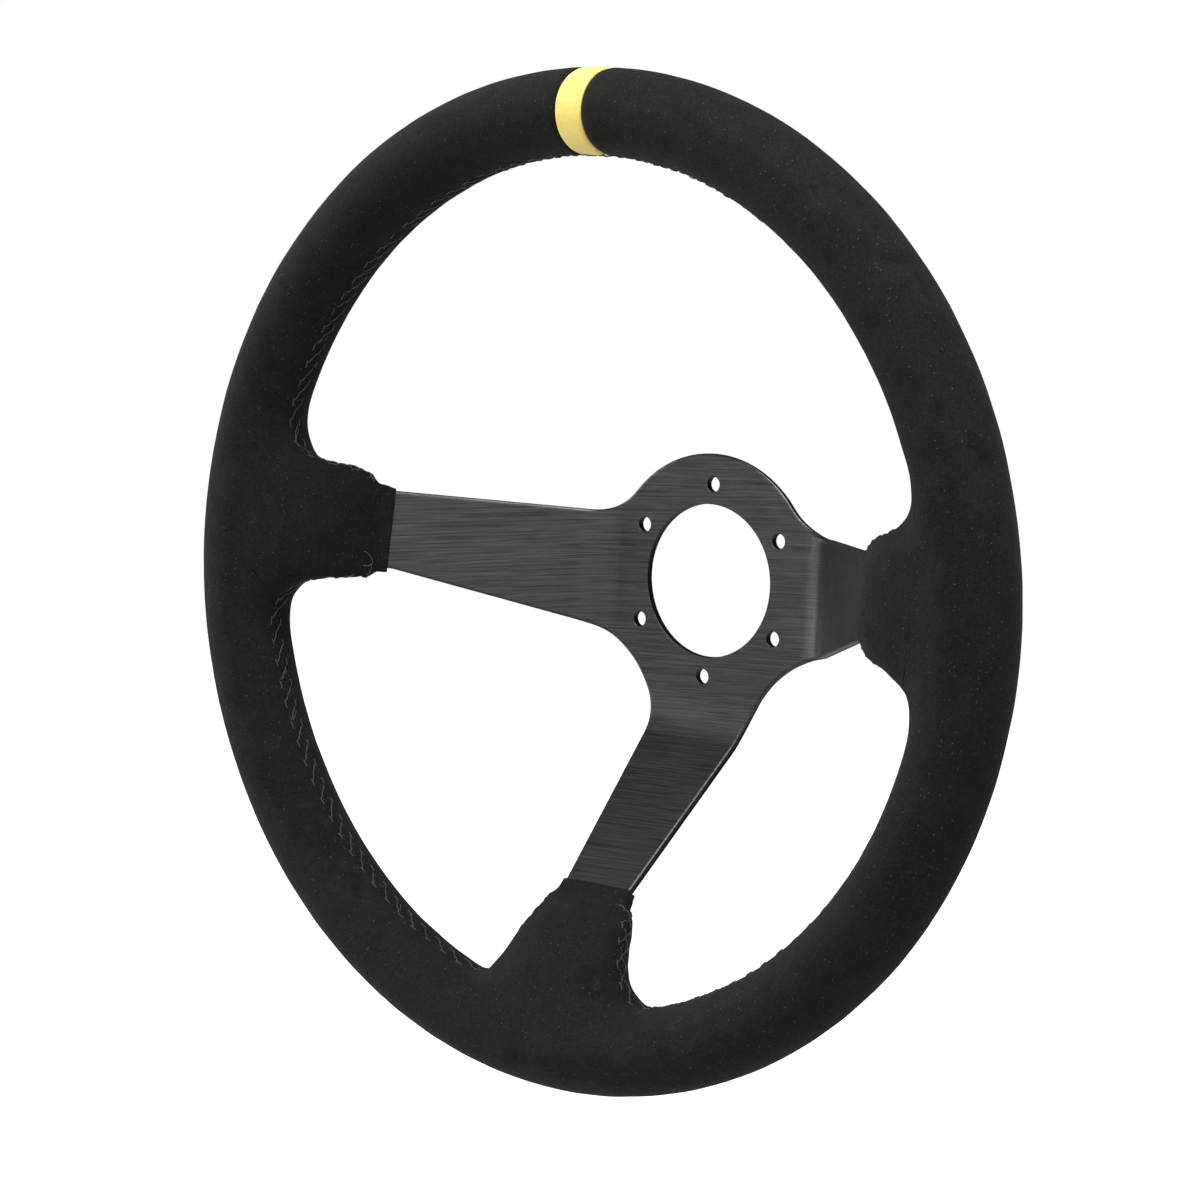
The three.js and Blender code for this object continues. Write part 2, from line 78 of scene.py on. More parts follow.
RIM_Y = (ring_low[1] + ring_high[1]) / 2
RIM_Z = (ring_low[2] + ring_high[2]) / 2
HALF_RADIAL = 14.6      # the rim section's half size away from the hub axis, and along it
HALF_AXIAL = RIM_Y - cover_low[1]
RIM_R = cover_high[0] - HALF_RADIAL
HUB_R = plate_high[2]
MARKER_HALF = box_mm("centre_marker")[1][0]
TAB_X = plate_high[0]
TAB_Z = plate_low[2]

# ---- Sizes of the spoke plate, as in the CAD part ----
PLATE_T = 3.0
BEND_ANGLE = math.pi / 4
ROOT_BEND_R = 24.0
TIP_BEND_R = 30.0
SIDE_BEND = 50.5
LOWER_BEND = 52.0
SIDE_TOP, SIDE_TOP_SLOPE = 20.6, 0.047
SIDE_BOTTOM, SIDE_BOTTOM_SLOPE = -22.4, 0.232
LOWER_HALF, LOWER_TAPER = 21.1, 0.0895
SHOULDER_R, CROTCH_R = 25.0, 40.0
SIDE_HEM, LOWER_HEM = 127.5, 126.5
LOWER_SHIFT = -0.4    # of the lower spoke to the left, in full from the second of these depths down
SHIFT_START, SHIFT_END = 27.0, 55.0
BORE_R, BOLT_CIRCLE_R, BOLT_HOLE_R = 27.75, 35.0, 2.75
RIVET_CIRCLE_R, RIVET_SPACING, RIVET_HOLE_R = 158.5, 17.0, 2.45
EDGE_R = 1.3          # how far the rounded outer edge of the plate reaches in
EDGE_WALL = 0.45      # half the height of the flat wall left between its two roundings
HOLE_EDGE_R = 0.35    # broken edge round the bore and the bolt holes
RIVET_EDGE_R = 0.1
TAB_CORNER_R = 3.0
OUTLINE_STEP, EDGE_STEPS, FACE_STEP = 1.5, 6, 3.0    # of the plate's mesh

# ---- Sizes of the cover and its lacing ----
COVER_T = 1.1
MARKER_GAP = 0.2      # between the marker strip and the suede beside it
BLEND_R = 19.0        # how softly a boss runs into the rim
CAP_R = 15.0          # how softly a boss ends inside it
BOSS_END = 50.0       # from the hem to where a boss stops inside the rim
# Middle line of each boss across its spoke: length from the hem and offset. The sides differ a little.
RIGHT_MIDDLE = ((0, 9.9), (14, 11.05), (30, 12.6), (60, 14.5))
LEFT_MIDDLE = ((0, 9.8), (7, 10.3), (13, 12.0), (25, 12.6), (42, 12.7), (60, 13.6))
LOWER_MIDDLE = ((0, -0.3), (7, 0.3), (16, 1.4), (30, 2.6), (60, 3.5))
# What each boss's half width has over these stations, by length from the hem.
RIGHT_EXTRA = ((0, 0.0), (8, -0.5), (22, -0.5), (35, 0.0))
LEFT_EXTRA = ((0, 0.2), (13, 0.6), (30, 0.5), (42, 0.8), (60, 0.4))
LOWER_EXTRA = ((0, -0.3), (8, -0.1), (14, 0.2), (22, 1.2), (30, 2.0), (60, 2.0))
STITCH_PITCH = 7.8
MARKER_DIP = 0.55     # of the cover's ends beside the marker
COLLAR_T = 0.7        # of the suede where it hugs a bare spoke
BOSS_FROM = 60.0      # from the hub axis, nothing of a boss comes nearer
NEAR_SPOKE = 50.0     # across a spoke, how far what is done to its boss reaches
THREAD_R = 0.2
FIBRE_R = 0.07        # loose fibres along the seams
FIBRES_PER_MM = 0.7
FIBRE_MARGIN = 10.0   # the thin collars at both ends of a seam carry none
HOOK_MARGIN = 1.8     # from a seam's ends to its first hooks
CROSSED = (4, 42)     # lengths from a seam's ends between which its strands cross
SEAM_LIP = 2.2        # from the seam to the holes on each side of it
# Relief along a seam: the height, the distance from the seam's middle and the width of each part.
GROOVE = (-0.45, 0.0, 0.5)
LIP = (0.12, 1.2, 0.8)
PULL = (-0.2, SEAM_LIP, 0.8)
PUCKER = (-0.045, 3.6, 2.4)
MARKER_SLIT = (-0.7, 0.0, 0.8)
MARKER_LIP = (0.2, 1.7, 0.9)
# Unevenness: the height, the size and the seed of each layer of noise.
SKIN_UNEVEN = ((0.16, 24, 3), (0.07, 8, 5), (0.03, 3, 6))
SEAM_UNEVEN = ((0.10, 4.5, 7),)
BOSS_UNEVEN = ((0.16, 7, 11), (0.10, 3.5, 12))
MARKER_UNEVEN = ((0.05, 6, 21), (0.03, 2.5, 22))
FOLD_HEIGHT, FOLD_TURN = 0.08, 0.9      # of the folds near a hem, and radians of them per millimetre
# Boss round a spoke: length from the hem, half width, thickness towards the driver and towards the
# column, and the squareness of the section on each of those sides.
BOSS = np.array([
    (-4.0, 14.9, 2.4, 2.7, 6.0, 6.0),
    (0.0, 15.0, 2.4, 2.7, 6.0, 6.0),
    (2.0, 15.6, 2.5, 2.9, 6.0, 6.0),
    (6.5, 16.0, 2.6, 3.7, 5.0, 5.0),
    (8.5, 18.4, 3.8, 6.5, 3.0, 3.6),
    (14.0, 19.7, 5.4, 9.5, 2.4, 3.2),
    (24.0, 20.9, 8.0, 13.0, 2.2, 3.0),
    (32.0, 22.6, 10.0, 15.0, 2.2, 3.0),
    (40.0, 26.5, 11.5, 16.2, 2.2, 3.0),
    (48.0, 31.0, 12.6, 16.2, 2.2, 3.0),
    (60.0, 34.0, 12.5, 15.5, 2.2, 3.0),
])


# ---- Small helpers ----
def unit(v):
    return v / np.maximum(np.linalg.norm(v, axis=-1, keepdims=True), 1e-12)


def smoothstep(low, high, x):
    t = np.clip((x - low) / (high - low), 0, 1)
    return t * t * (3 - 2 * t)


def bell(x, width):
    return np.exp(-((x / width) ** 2))


def lattice(ix, iy, iz, seed):
    """A repeatable random number from -1 to 1 at each whole-number point."""
    h = (ix * 374761393 + iy * 668265263 + iz * 2147483647 + seed * 1274126177).astype(np.uint64)
    h = (h ^ (h >> np.uint64(13))) * np.uint64(1274126177)
    h = h ^ (h >> np.uint64(16))
    return (h & np.uint64(0xFFFF)).astype(float) / 32767.5 - 1


def noise(points, size, seed):
    """Smooth value noise from -1 to 1, with bumps of the given size."""
    p = points / size + 1000
    cell = np.floor(p).astype(np.int64)
    t = p - cell
    t = t * t * t * (t * (t * 6 - 15) + 10)
    total = np.zeros(len(points))
    for corner in range(8):
        d = np.array([(corner >> k) & 1 for k in range(3)])
        weight = np.prod(np.where(d, t, 1 - t), axis=1)
        c = (cell + d).astype(np.int64)
        total += weight * lattice(c[:, 0], c[:, 1], c[:, 2], seed)
    return total


def uneven(points, layers):
    return sum(height * noise(points, size, seed) for height, size, seed in layers)


def ridge(lane, part):
    """A part of a seam's relief, at distances from the seam's middle."""
    height, middle, width = part
    return height * bell(lane - middle, width)


def new_object(name, verts, faces, material, uv=None, normals=None, second=None):
    """A mesh object in metres from points in millimetres, with some faces in a second material."""
    mesh = bpy.data.meshes.new(name)
    mesh.from_pydata((np.asarray(verts) * MM).tolist(), [], [list(map(int, f)) for f in faces])
    mesh.validate()
    mesh.update()
    mesh.shade_smooth()
    if uv is not None:
        layer = mesh.uv_layers.new(name="flat")
        index = np.zeros(len(mesh.loops), np.int64)
        mesh.loops.foreach_get("vertex_index", index)
        layer.data.foreach_set("uv", np.asarray(uv, float)[index].astype(np.float32).ravel())
    if normals is not None:
        mesh.normals_split_custom_set_from_vertices(np.asarray(normals).tolist())
    mesh.materials.append(material)
    if second is not None:
        mesh.materials.append(second[0])
        for i in second[1]:
            mesh.polygons[i].material_index = 1
    obj = bpy.data.objects.new(name, mesh)
    bpy.context.scene.collection.objects.link(obj)
    return obj


# ---- Spoke paths ----
X, Y, Z = np.eye(3)
SPREAD = np.linspace(-1.5, 1.5, 5)     # lengths over which a boss's stations are averaged


def eased(table, column, e):
    """A column of a table of stations by length, its corners eased."""
    return np.mean([np.interp(e + d, table[:, 0], table[:, column]) for d in SPREAD], axis=0)


class Spoke:
    """A spoke's folded path. s runs along the plate from the hub axis, v across it and n out of it,
    towards the column. The flat pattern lies in x and z."""

    def __init__(self, name, out, across, bend, hem, middle, extra, rim_offset=0.0):
        self.name, self.out, self.across = name, out, across
        self.bend, self.hem, self.rim_offset = bend, hem, rim_offset
        self.middle, self.extra = np.array(middle, float), np.array(extra, float)
        drop = -PLATE_T / 2 - RIM_Y
        root = ROOT_BEND_R * math.tan(BEND_ANGLE / 2)
        tip = TIP_BEND_R * math.tan(BEND_ANGLE / 2)
        self.root_run = root
        self.tip_rho = bend + drop / math.tan(BEND_ANGLE) + tip
        self.root_start = bend - root
        self.root_end = self.root_start + ROOT_BEND_R * BEND_ANGLE
        self.tip_start = self.root_end + drop / math.sin(BEND_ANGLE) - root - tip
        self.tip_end = self.tip_start + TIP_BEND_R * BEND_ANGLE

    def centre(self, e):
        """The boss's middle across the spoke, at a length from the hem."""
        return eased(self.middle, 1, e)

    def boss_size(self, e):
        """Half width, thickness to the front and to the back, and squareness of each."""
        width, *rest = (eased(BOSS, k, e) for k in range(1, 6))
        return [width + eased(self.extra, 1, e), *rest]

    def length_at(self, rho):
        return self.tip_end + rho - self.tip_rho

    def path(self, s):
        """Distance out from the hub axis, y and tilt of the middle of the plate."""
        s = np.asarray(s, float)
        root_tilt = np.clip((s - self.root_start) / ROOT_BEND_R, 0, BEND_ANGLE)
        tip_tilt = np.clip((self.tip_end - s) / TIP_BEND_R, 0, BEND_ANGLE)
        tilt = np.where(s > self.tip_start, tip_tilt, root_tilt)
        run = self.root_run + s - self.root_end
        rho = np.where(s < self.root_start, s, self.root_start + ROOT_BEND_R * np.sin(tilt))
        y = np.where(s < self.root_start, 0.0, -ROOT_BEND_R * (1 - np.cos(tilt))) - PLATE_T / 2
        straight = (s > self.root_end) & (s <= self.tip_start)
        rho = np.where(straight, self.bend + run * math.cos(BEND_ANGLE), rho)
        y = np.where(straight, -PLATE_T / 2 - run * math.sin(BEND_ANGLE), y)
        curved = s > self.tip_start
        past = np.maximum(s - self.tip_end, 0)
        rho = np.where(curved, self.tip_rho - TIP_BEND_R * np.sin(tilt) + past, rho)
        y = np.where(curved, RIM_Y + TIP_BEND_R * (1 - np.cos(tilt)), y)
        return rho, y, tilt

    def point(self, s, v, n):
        rho, y, tilt = self.path(s)
        v, n = np.asarray(v, float), np.asarray(n, float)
        rho, y = rho + n * np.sin(tilt), y + n * np.cos(tilt)
        return rho[..., None] * self.out + y[..., None] * Y + v[..., None] * self.across

    def inverse(self, p):
        """s, v and n of points near the outer end of the spoke."""
        rho, v = p @ self.out, p @ self.across
        dx, dy = self.tip_rho - rho, RIM_Y + TIP_BEND_R - p[:, 1]
        turn = np.arctan2(dx, dy)
        c, k = math.cos(BEND_ANGLE), math.sin(BEND_ANGLE)
        ex = rho - (self.tip_rho - TIP_BEND_R * k)
        ey = p[:, 1] - (RIM_Y + TIP_BEND_R * (1 - c))
        s = np.where(turn > BEND_ANGLE, self.tip_start + ex * c - ey * k, self.tip_end - TIP_BEND_R * turn)
        n = np.where(turn > BEND_ANGLE, ex * k + ey * c, TIP_BEND_R - np.hypot(dx, dy))
        flat = turn < 0
        s = np.where(flat, self.tip_end + rho - self.tip_rho, s)
        n = np.where(flat, p[:, 1] - RIM_Y, n)
        return s, v, n


RIGHT = Spoke("right", X, Z, SIDE_BEND, SIDE_HEM, RIGHT_MIDDLE, RIGHT_EXTRA)
LEFT = Spoke("left", -X, Z, SIDE_BEND, SIDE_HEM, LEFT_MIDDLE, LEFT_EXTRA)
LOWER = Spoke("lower", -Z, X, LOWER_BEND, LOWER_HEM, LOWER_MIDDLE, LOWER_EXTRA, -RIM_Z)
SPOKES = (RIGHT, LEFT, LOWER)


# ---- Plate outline in the flat pattern ----
def side_top_line(s):
    return SIDE_TOP + SIDE_TOP_SLOPE * (s - SIDE_BEND)


def side_bottom_line(s):
    return SIDE_BOTTOM + SIDE_BOTTOM_SLOPE * (s - SIDE_BEND)


def lower_line(s):
    return LOWER_HALF - LOWER_TAPER * (s - LOWER_BEND)


def shoulder_fillet():
    """Centre of the fillet that touches the hub disc and the side spoke's upper edge."""
    reach = HUB_R + SHOULDER_R
    lift = SHOULDER_R * math.hypot(1, SIDE_TOP_SLOPE) + side_top_line(0)
    a = 1 + SIDE_TOP_SLOPE**2
    b = SIDE_TOP_SLOPE * lift
    x = (-b + math.sqrt(b * b - a * (lift * lift - reach * reach))) / a
    return x, lift + SIDE_TOP_SLOPE * x


def crotch_fillet():
    """Centre of the fillet that touches the side spoke's lower edge and the lower spoke's edge."""
    fall = side_bottom_line(0) - CROTCH_R * math.hypot(1, SIDE_BOTTOM_SLOPE)
    clear = lower_line(0) + CROTCH_R * math.hypot(1, LOWER_TAPER)
    x = (clear + LOWER_TAPER * fall) / (1 - LOWER_TAPER * SIDE_BOTTOM_SLOPE)
    return x, fall + SIDE_BOTTOM_SLOPE * x


def arc(centre, radius, start, end):
    angles = np.linspace(start, end, max(3, int(abs(end - start) * radius / 1.2)))
    return [(centre[0] + radius * math.cos(t), centre[1] + radius * math.sin(t)) for t in angles]


def half_outline():
    """The right half of the plate's flat outline, clockwise from the top of the hub."""
    sx, sz = shoulder_fillet()
    cx, cz = crotch_fillet()
    touch = math.atan2(sz, sx)
    top_turn = math.atan(SIDE_TOP_SLOPE)
    low_turn = math.atan(SIDE_BOTTOM_SLOPE)
    taper_turn = math.atan(LOWER_TAPER)
    end = RIGHT.length_at(TAB_X)
    foot = LOWER.length_at(-TAB_Z)
    hem_low = side_bottom_line(SIDE_HEM)
    end_low = hem_low + SIDE_TOP_SLOPE * (end - SIDE_HEM)
    end_top = side_top_line(end)
    r = TAB_CORNER_R
    half = lower_line(LOWER_HEM)
    points = arc((0, 0), HUB_R, math.pi / 2, touch)
    points += arc((sx, sz), SHOULDER_R, touch + math.pi, 1.5 * math.pi + top_turn)
    points += [(end - r, end_top)]
    points += arc((end - r, end_top - r), r, math.pi / 2, 0)
    points += arc((end - r, end_low + r), r, 0, -math.pi / 2)
    points += [(SIDE_HEM, hem_low)]
    points += arc((cx, cz), CROTCH_R, math.pi / 2 + low_turn, math.pi - taper_turn)
    points += [(half, -LOWER_HEM)]
    points += arc((half - r, -foot + r), r, 0, -math.pi / 2)
    return points


def resample(points, step, closed=True):
    """Points no further apart than step along a polyline, its corners kept."""
    points = [np.array(p, float) for p in points]
    out = []
    pairs = zip(points, points[1:] + points[:1] if closed else points[1:])
    for a, b in pairs:
        length = np.linalg.norm(b - a)
        if length < 1e-6:
            continue
        count = max(1, int(math.ceil(length / step)))
        out += [a + (b - a) * i / count for i in range(count)]
    return np.array(out)


def loop_normals(loop):
    """Unit normals to the right of a clockwise loop, which point inwards."""
    ahead = np.roll(loop, -1, axis=0) - loop
    behind = loop - np.roll(loop, 1, axis=0)
    tangent = unit(unit(ahead) + unit(behind))
    return np.stack([tangent[:, 1], -tangent[:, 0]], 1)


def circle_loop(x, z, radius, count):
    """A hole's loop, anticlockwise, so that the normal on its right points into the metal."""
    t = np.linspace(0, 2 * math.pi, count, endpoint=False)
    return np.stack([x + radius * np.cos(t), z + radius * np.sin(t)], 1)


def fold(flat, height):
    """Flat-pattern points and heights above the mid plane as points in the row frame, with the images
    of the flat x and z directions and of the plate's normal."""
    position = np.stack([flat[:, 0], height - PLATE_T / 2, flat[:, 1]], 1)
    ex, en, ez = (np.tile(axis, (len(flat), 1)) for axis in (X, Y, Z))
    for spoke in SPOKES:
        along = flat @ spoke.out[[0, 2]]
        across = flat @ spoke.across[[0, 2]]
        on = along > spoke.root_start
        tilt = spoke.path(along)[2][:, None]
        tangent = np.cos(tilt) * spoke.out - np.sin(tilt) * Y
        normal = np.sin(tilt) * spoke.out + np.cos(tilt) * Y
        position[on] = spoke.point(along, across, height)[on]
        if spoke is LOWER:
            ez[on] = -tangent[on]
        else:
            ex[on] = tangent[on] * spoke.out[0]
        en[on] = normal[on]
    return position, ex, ez, en


def edge_profile(inset_r, steps, wall):
    """Inset, height and outward share of a rounded edge with a flat wall, from one face to the other."""
    half = PLATE_T / 2
    rows = []
    height_r = half - wall
    for i in range(steps + 1):
        a = math.pi / 2 * i / steps
        normal = unit(np.array([math.sin(a) / inset_r, math.cos(a) / height_r]))
        rows.append((inset_r * (1 - math.sin(a)), wall + height_r * math.cos(a), normal[0], normal[1]))
    return rows + [(d, -h, o, -m) for d, h, o, m in reversed(rows)]


def plate_loops():
    """The plate's outline and holes: loop, reach and steps of its edge rounding, and half flat wall."""
    half = half_outline()
    outline = half + [(-x, z) for x, z in reversed(half)]
    outline = [(x + LOWER_SHIFT * smoothstep(SHIFT_START, SHIFT_END, -z), z) for x, z in outline]
    outer = resample(outline, OUTLINE_STEP)
    outer = outer[np.linalg.norm(outer - np.roll(outer, 1, axis=0), axis=1) > 0.05]
    broken = HOLE_EDGE_R, 3, PLATE_T / 2 - HOLE_EDGE_R
    loops = [(outer, EDGE_R, EDGE_STEPS, EDGE_WALL), (circle_loop(0, 0, BORE_R, 160), *broken)]
    for bolt in range(6):
        t = math.pi / 2 + bolt * math.pi / 3
        centre = BOLT_CIRCLE_R * math.cos(t), BOLT_CIRCLE_R * math.sin(t)
        loops.append((circle_loop(*centre, BOLT_HOLE_R, 40), *broken))
    for spoke in SPOKES:
        s = spoke.length_at(RIVET_CIRCLE_R + spoke.rim_offset)
        if spoke is LOWER:
            centres = [(-RIVET_SPACING / 2, -s), (RIVET_SPACING / 2, -s)]
        else:
            low = side_bottom_line(SIDE_HEM) + SIDE_TOP_SLOPE * (s - SIDE_HEM)
            middle = (side_top_line(s) + low) / 2
            centres = [(spoke.out[0] * s, middle + k * RIVET_SPACING / 2) for k in (-1, 1)]
        for x, z in centres:
            loop = circle_loop(x, z, RIVET_HOLE_R, 24)
            loops.append((loop, RIVET_EDGE_R, 1, PLATE_T / 2 - RIVET_EDGE_R))
    return loops


def plate_face(rims):
    """Triangles between loops of the flat pattern, finer at the root bends: points, faces and where each
    point of the loops went."""
    edges, start = [], 0
    for rim in rims:
        count = len(rim)
        edges += [(start + i, start + (i + 1) % count) for i in range(count)]
        start += count
    boundary = np.concatenate(rims)
    xs = np.arange(-196, 196, FACE_STEP)
    grid = []
    for k, z in enumerate(np.arange(-196, 50, FACE_STEP * 0.87)):
        grid += [(x + (0.5 * FACE_STEP if k % 2 else 0), z) for x in xs]
    for spoke in (RIGHT, LEFT):
        for s in np.linspace(spoke.root_start, spoke.root_end, 12):
            grid += [(spoke.out[0] * s, z) for z in np.arange(-26, 24, 2.5)]
    for s in np.linspace(LOWER.root_start, LOWER.root_end, 12):
        grid += [(x, -s) for x in np.arange(-24, 24.1, 2.5)]
    grid = np.array(grid)
    tree = KDTree(len(boundary))
    for i, (x, z) in enumerate(boundary):
        tree.insert((x, z, 0), i)
    tree.balance()
    grid = np.array([g for g in grid if tree.find((g[0], g[1], 0))[2] > 0.9])
    points = [Vector(p) for p in np.concatenate([boundary, grid])]
    verts, _, faces, origin, _, _ = delaunay_2d_cdt(points, edges, [], 1, 1e-5)
    flat = np.array([v[:] for v in verts])
    middles = flat[np.array(faces)].mean(1)
    solid = np.ones(len(faces), bool)
    for rim in rims[1:]:
        centre = rim.mean(0)
        solid &= np.linalg.norm(middles - centre, axis=1) > np.linalg.norm(rim[0] - centre)
    used, faces = np.unique(np.array(faces)[solid], return_inverse=True)
    place = {int(old): new for new, old in enumerate(used)}
    source = {o: place[i] for i, group in enumerate(origin) for o in group if i in place}
    return flat[used], faces.reshape(-1, 3), source


def plate_mesh():
    """Points, faces, flat pattern and normals of the plate, and which faces are its cut walls."""
    loops = plate_loops()
    rims = [loop + loop_normals(loop) * inset_r for loop, inset_r, _, _ in loops]
    flat, middle_faces, source = plate_face(rims)
    groups = []

    def add(points, height, out, share):
        """Adds flat points at one height and their normals' parts, and says where they start."""
        groups.append((points, np.full(len(points), height), out, np.full(len(points), share)))
        return sum(len(group[0]) for group in groups[:-1])

    upright = np.zeros((len(flat), 2))
    front = add(flat, -PLATE_T / 2, upright, -1.0)
    back = add(flat, PLATE_T / 2, upright, 1.0)
    faces = []
    a, b, c = (flat[middle_faces[0][k]] for k in range(3))
    area = (b[0] - a[0]) * (c[1] - a[1]) - (b[1] - a[1]) * (c[0] - a[0])
    for face in middle_faces:
        face = list(face) if area < 0 else list(reversed(face))
        faces.append([front + i for i in reversed(face)])
        faces.append([back + i for i in face])
    walls = []
    start = 0
    for loop, inset_r, steps, wall in loops:
        inward = loop_normals(loop)
        profile = edge_profile(inset_r, steps, wall)
        size = len(loop)
        inner = [source[start + i] for i in range(size)]
        previous = [back + i for i in inner]
        for k, (inset, height, out, share) in enumerate(profile[1:]):
            if k == len(profile) - 2:
                current = [front + i for i in inner]
            else:
                at = add(loop + inward * inset, height, -inward * out, share)
                current = [at + i for i in range(size)]
            if k == steps:
                walls += range(len(faces), len(faces) + size)
            for i in range(size):
                j = (i + 1) % size
                faces.append([current[i], current[j], previous[j], previous[i]])
            previous = current
        start += size
    flat, height, out, share = (np.concatenate(column) for column in zip(*groups))
    position, ex, ez, en = fold(flat, height)
    normal = unit(out[:, :1] * ex + out[:, 1:] * ez + share[:, None] * en)
    return position, faces, flat * MM, normal, walls


# ---- Cover surface: the rim's torus and three bosses run softly together ----
def torus_field(p):
    """Roughly the distance of points from the rim's elliptical torus, below 0 inside."""
    dr = np.hypot(p[:, 0], p[:, 2] - RIM_Z) - RIM_R
    dy = p[:, 1] - RIM_Y
    k = np.hypot(dr / HALF_RADIAL, dy / HALF_AXIAL)
    slope = np.hypot(dr / HALF_RADIAL**2, dy / HALF_AXIAL**2)
    return np.where(k > 0.05, k * (k - 1) / np.maximum(slope, 1e-9), -HALF_RADIAL)


def boss_field(spoke, p):
    s, v, n = spoke.inverse(p)
    e = s - spoke.hem
    width, front, back, front_square, back_square = spoke.boss_size(e)
    side = v - spoke.centre(e)
    thick = np.where(n < 0, front, back)
    square = np.where(n < 0, front_square, back_square)
    a, b = np.abs(side) / width, np.abs(n) / thick
    k = (a**square + b**square + 1e-12) ** (1 / square)
    ga = a ** (square - 1) / width
    gb = b ** (square - 1) / thick
    slope = k ** (1 - square) * np.hypot(ga, gb)
    sides = np.where(p @ spoke.out < BOSS_FROM, BOSS_FROM, (k - 1) / np.maximum(slope, 1e-6))
    return -soft_min(-sides, BOSS_END - e, CAP_R)


def soft_min(a, b, r):
    h = np.maximum(r - np.abs(a - b), 0) / r
    return np.minimum(a, b) - h * h * h * r / 6


def field(p):
    total = torus_field(p)
    for spoke in SPOKES:
        total = soft_min(total, boss_field(spoke, p), BLEND_R)
    return total


def gradient(p):
    d = 0.05
    columns = []
    for k in range(3):
        step = np.zeros(3)
        step[k] = d
        columns.append((field(p + step) - field(p - step)) / (2 * d))
    return np.stack(columns, 1)


def project(p, level=0.0, rounds=5):
    """Moves points along the field's slope onto the surface at a given level."""
    for _ in range(rounds):
        g = gradient(p)
        length2 = np.maximum((g * g).sum(1), 1e-4)
        p = p - np.clip((field(p) - level) / length2, -3, 3)[:, None] * g
    return p, unit(gradient(p))


# ---- Cover mesh ----
def ring_faces(count, sides):
    """Numbers of the points of a tube made of rings, and the quads between them."""
    index = np.arange(count * sides).reshape(count, sides)
    ahead = np.roll(index, -1, 1)
    return index, np.stack([index[:-1], ahead[:-1], ahead[1:], index[1:]], -1).reshape(-1, 4)


def torus_mesh(rings, sides):
    a, b = np.meshgrid(np.linspace(0, 2 * np.pi, rings, endpoint=False),
                       np.linspace(0, 2 * np.pi, sides, endpoint=False), indexing="ij")
    r = RIM_R + HALF_RADIAL * np.cos(b)
    verts = np.stack([r * np.cos(a), RIM_Y + HALF_AXIAL * np.sin(b), RIM_Z + r * np.sin(a)], -1)
    index = np.arange(rings * sides).reshape(rings, sides)
    ahead = np.roll(index, -1, 1)
    faces = np.stack([index, ahead, np.roll(ahead, -1, 0), np.roll(index, -1, 0)], -1)
    return verts.reshape(-1, 3), faces.reshape(-1, 4)


def boss_mesh(spoke, sides=40):
    stations = np.arange(-4.0, 46.0, 1.0)
    t = np.linspace(0, 2 * np.pi, sides, endpoint=False)
    rows = []
    for e in stations:
        width, front, back, front_square, back_square = (float(x) for x in spoke.boss_size(e))
        square = np.where(np.sin(t) < 0, front_square, back_square)
        reach = width * np.sign(np.cos(t)) * np.abs(np.cos(t)) ** (2 / square)
        across = spoke.centre(e) + reach
        thick = np.where(np.sin(t) < 0, front, back)
        depth = thick * np.sign(np.sin(t)) * np.abs(np.sin(t)) ** (2 / square)
        rows.append(spoke.point(np.full(sides, spoke.hem + e), across, depth))
    index, faces = ring_faces(len(stations), sides)
    return np.concatenate(rows), faces.tolist() + [index[0].tolist()[::-1], index[-1].tolist()]


def joined(parts):
    verts, faces, offset = [], [], 0
    for v, f in parts:
        verts.append(v)
        faces += [[int(i) + offset for i in face] for face in f]
        offset += len(v)
    return np.concatenate(verts), faces


def remeshed(verts, faces, voxel):
    """The outer surface of overlapping closed meshes, as even quads."""
    mesh = bpy.data.meshes.new("rough")
    mesh.from_pydata((verts * MM).tolist(), [], faces)
    bm = bmesh.new()
    bm.from_mesh(mesh)
    bmesh.ops.recalc_face_normals(bm, faces=bm.faces)
    bm.to_mesh(mesh)
    bm.free()
    rough = bpy.data.objects.new("rough", mesh)
    bpy.context.scene.collection.objects.link(rough)
    modifier = rough.modifiers.new("remesh", "REMESH")
    modifier.mode = "VOXEL"
    modifier.voxel_size = voxel * MM
    made = rough.evaluated_get(bpy.context.evaluated_depsgraph_get()).to_mesh()
    bm = bmesh.new()
    bm.from_mesh(made)
    bpy.data.objects.remove(rough)
    return bm


def positions(bm):
    return np.array([v.co[:] for v in bm.verts]) / MM


def move_to(bm, points):
    for v, p in zip(bm.verts, points * MM):
        v.co = p


def relax(points, edges, rounds, fixed):
    """Evens out a surface mesh, each round put back onto the cover's surface."""
    count = np.bincount(edges.ravel(), minlength=len(points))[:, None]
    for _ in range(rounds):
        total = np.zeros_like(points)
        np.add.at(total, edges[:, 0], points[edges[:, 1]])
        np.add.at(total, edges[:, 1], points[edges[:, 0]])
        moved = 0.5 * points + 0.5 * total / np.maximum(count, 1)
        points = np.where(fixed[:, None], points, moved)
        points = project(points, rounds=1)[0]
    return points


def edge_array(bm):
    bm.verts.index_update()
    return np.array([(e.verts[0].index, e.verts[1].index) for e in bm.edges])


# How far past its nominal place each hem was cut, in millimetres, and how far out of square.
HEM_CUT = {"right": (0.0, -0.02), "left": (0.8, 0.067), "lower": (0.8, 0.038)}


def cut_faces(bm, faces, place, normal):
    """Cuts edges into some faces along a plane, given in metres."""
    geom = faces + list({e for f in faces for e in f.edges}) + list({v for f in faces for v in f.verts})
    bmesh.ops.bisect_plane(bm, geom=geom, plane_co=place, plane_no=normal, dist=1e-7)


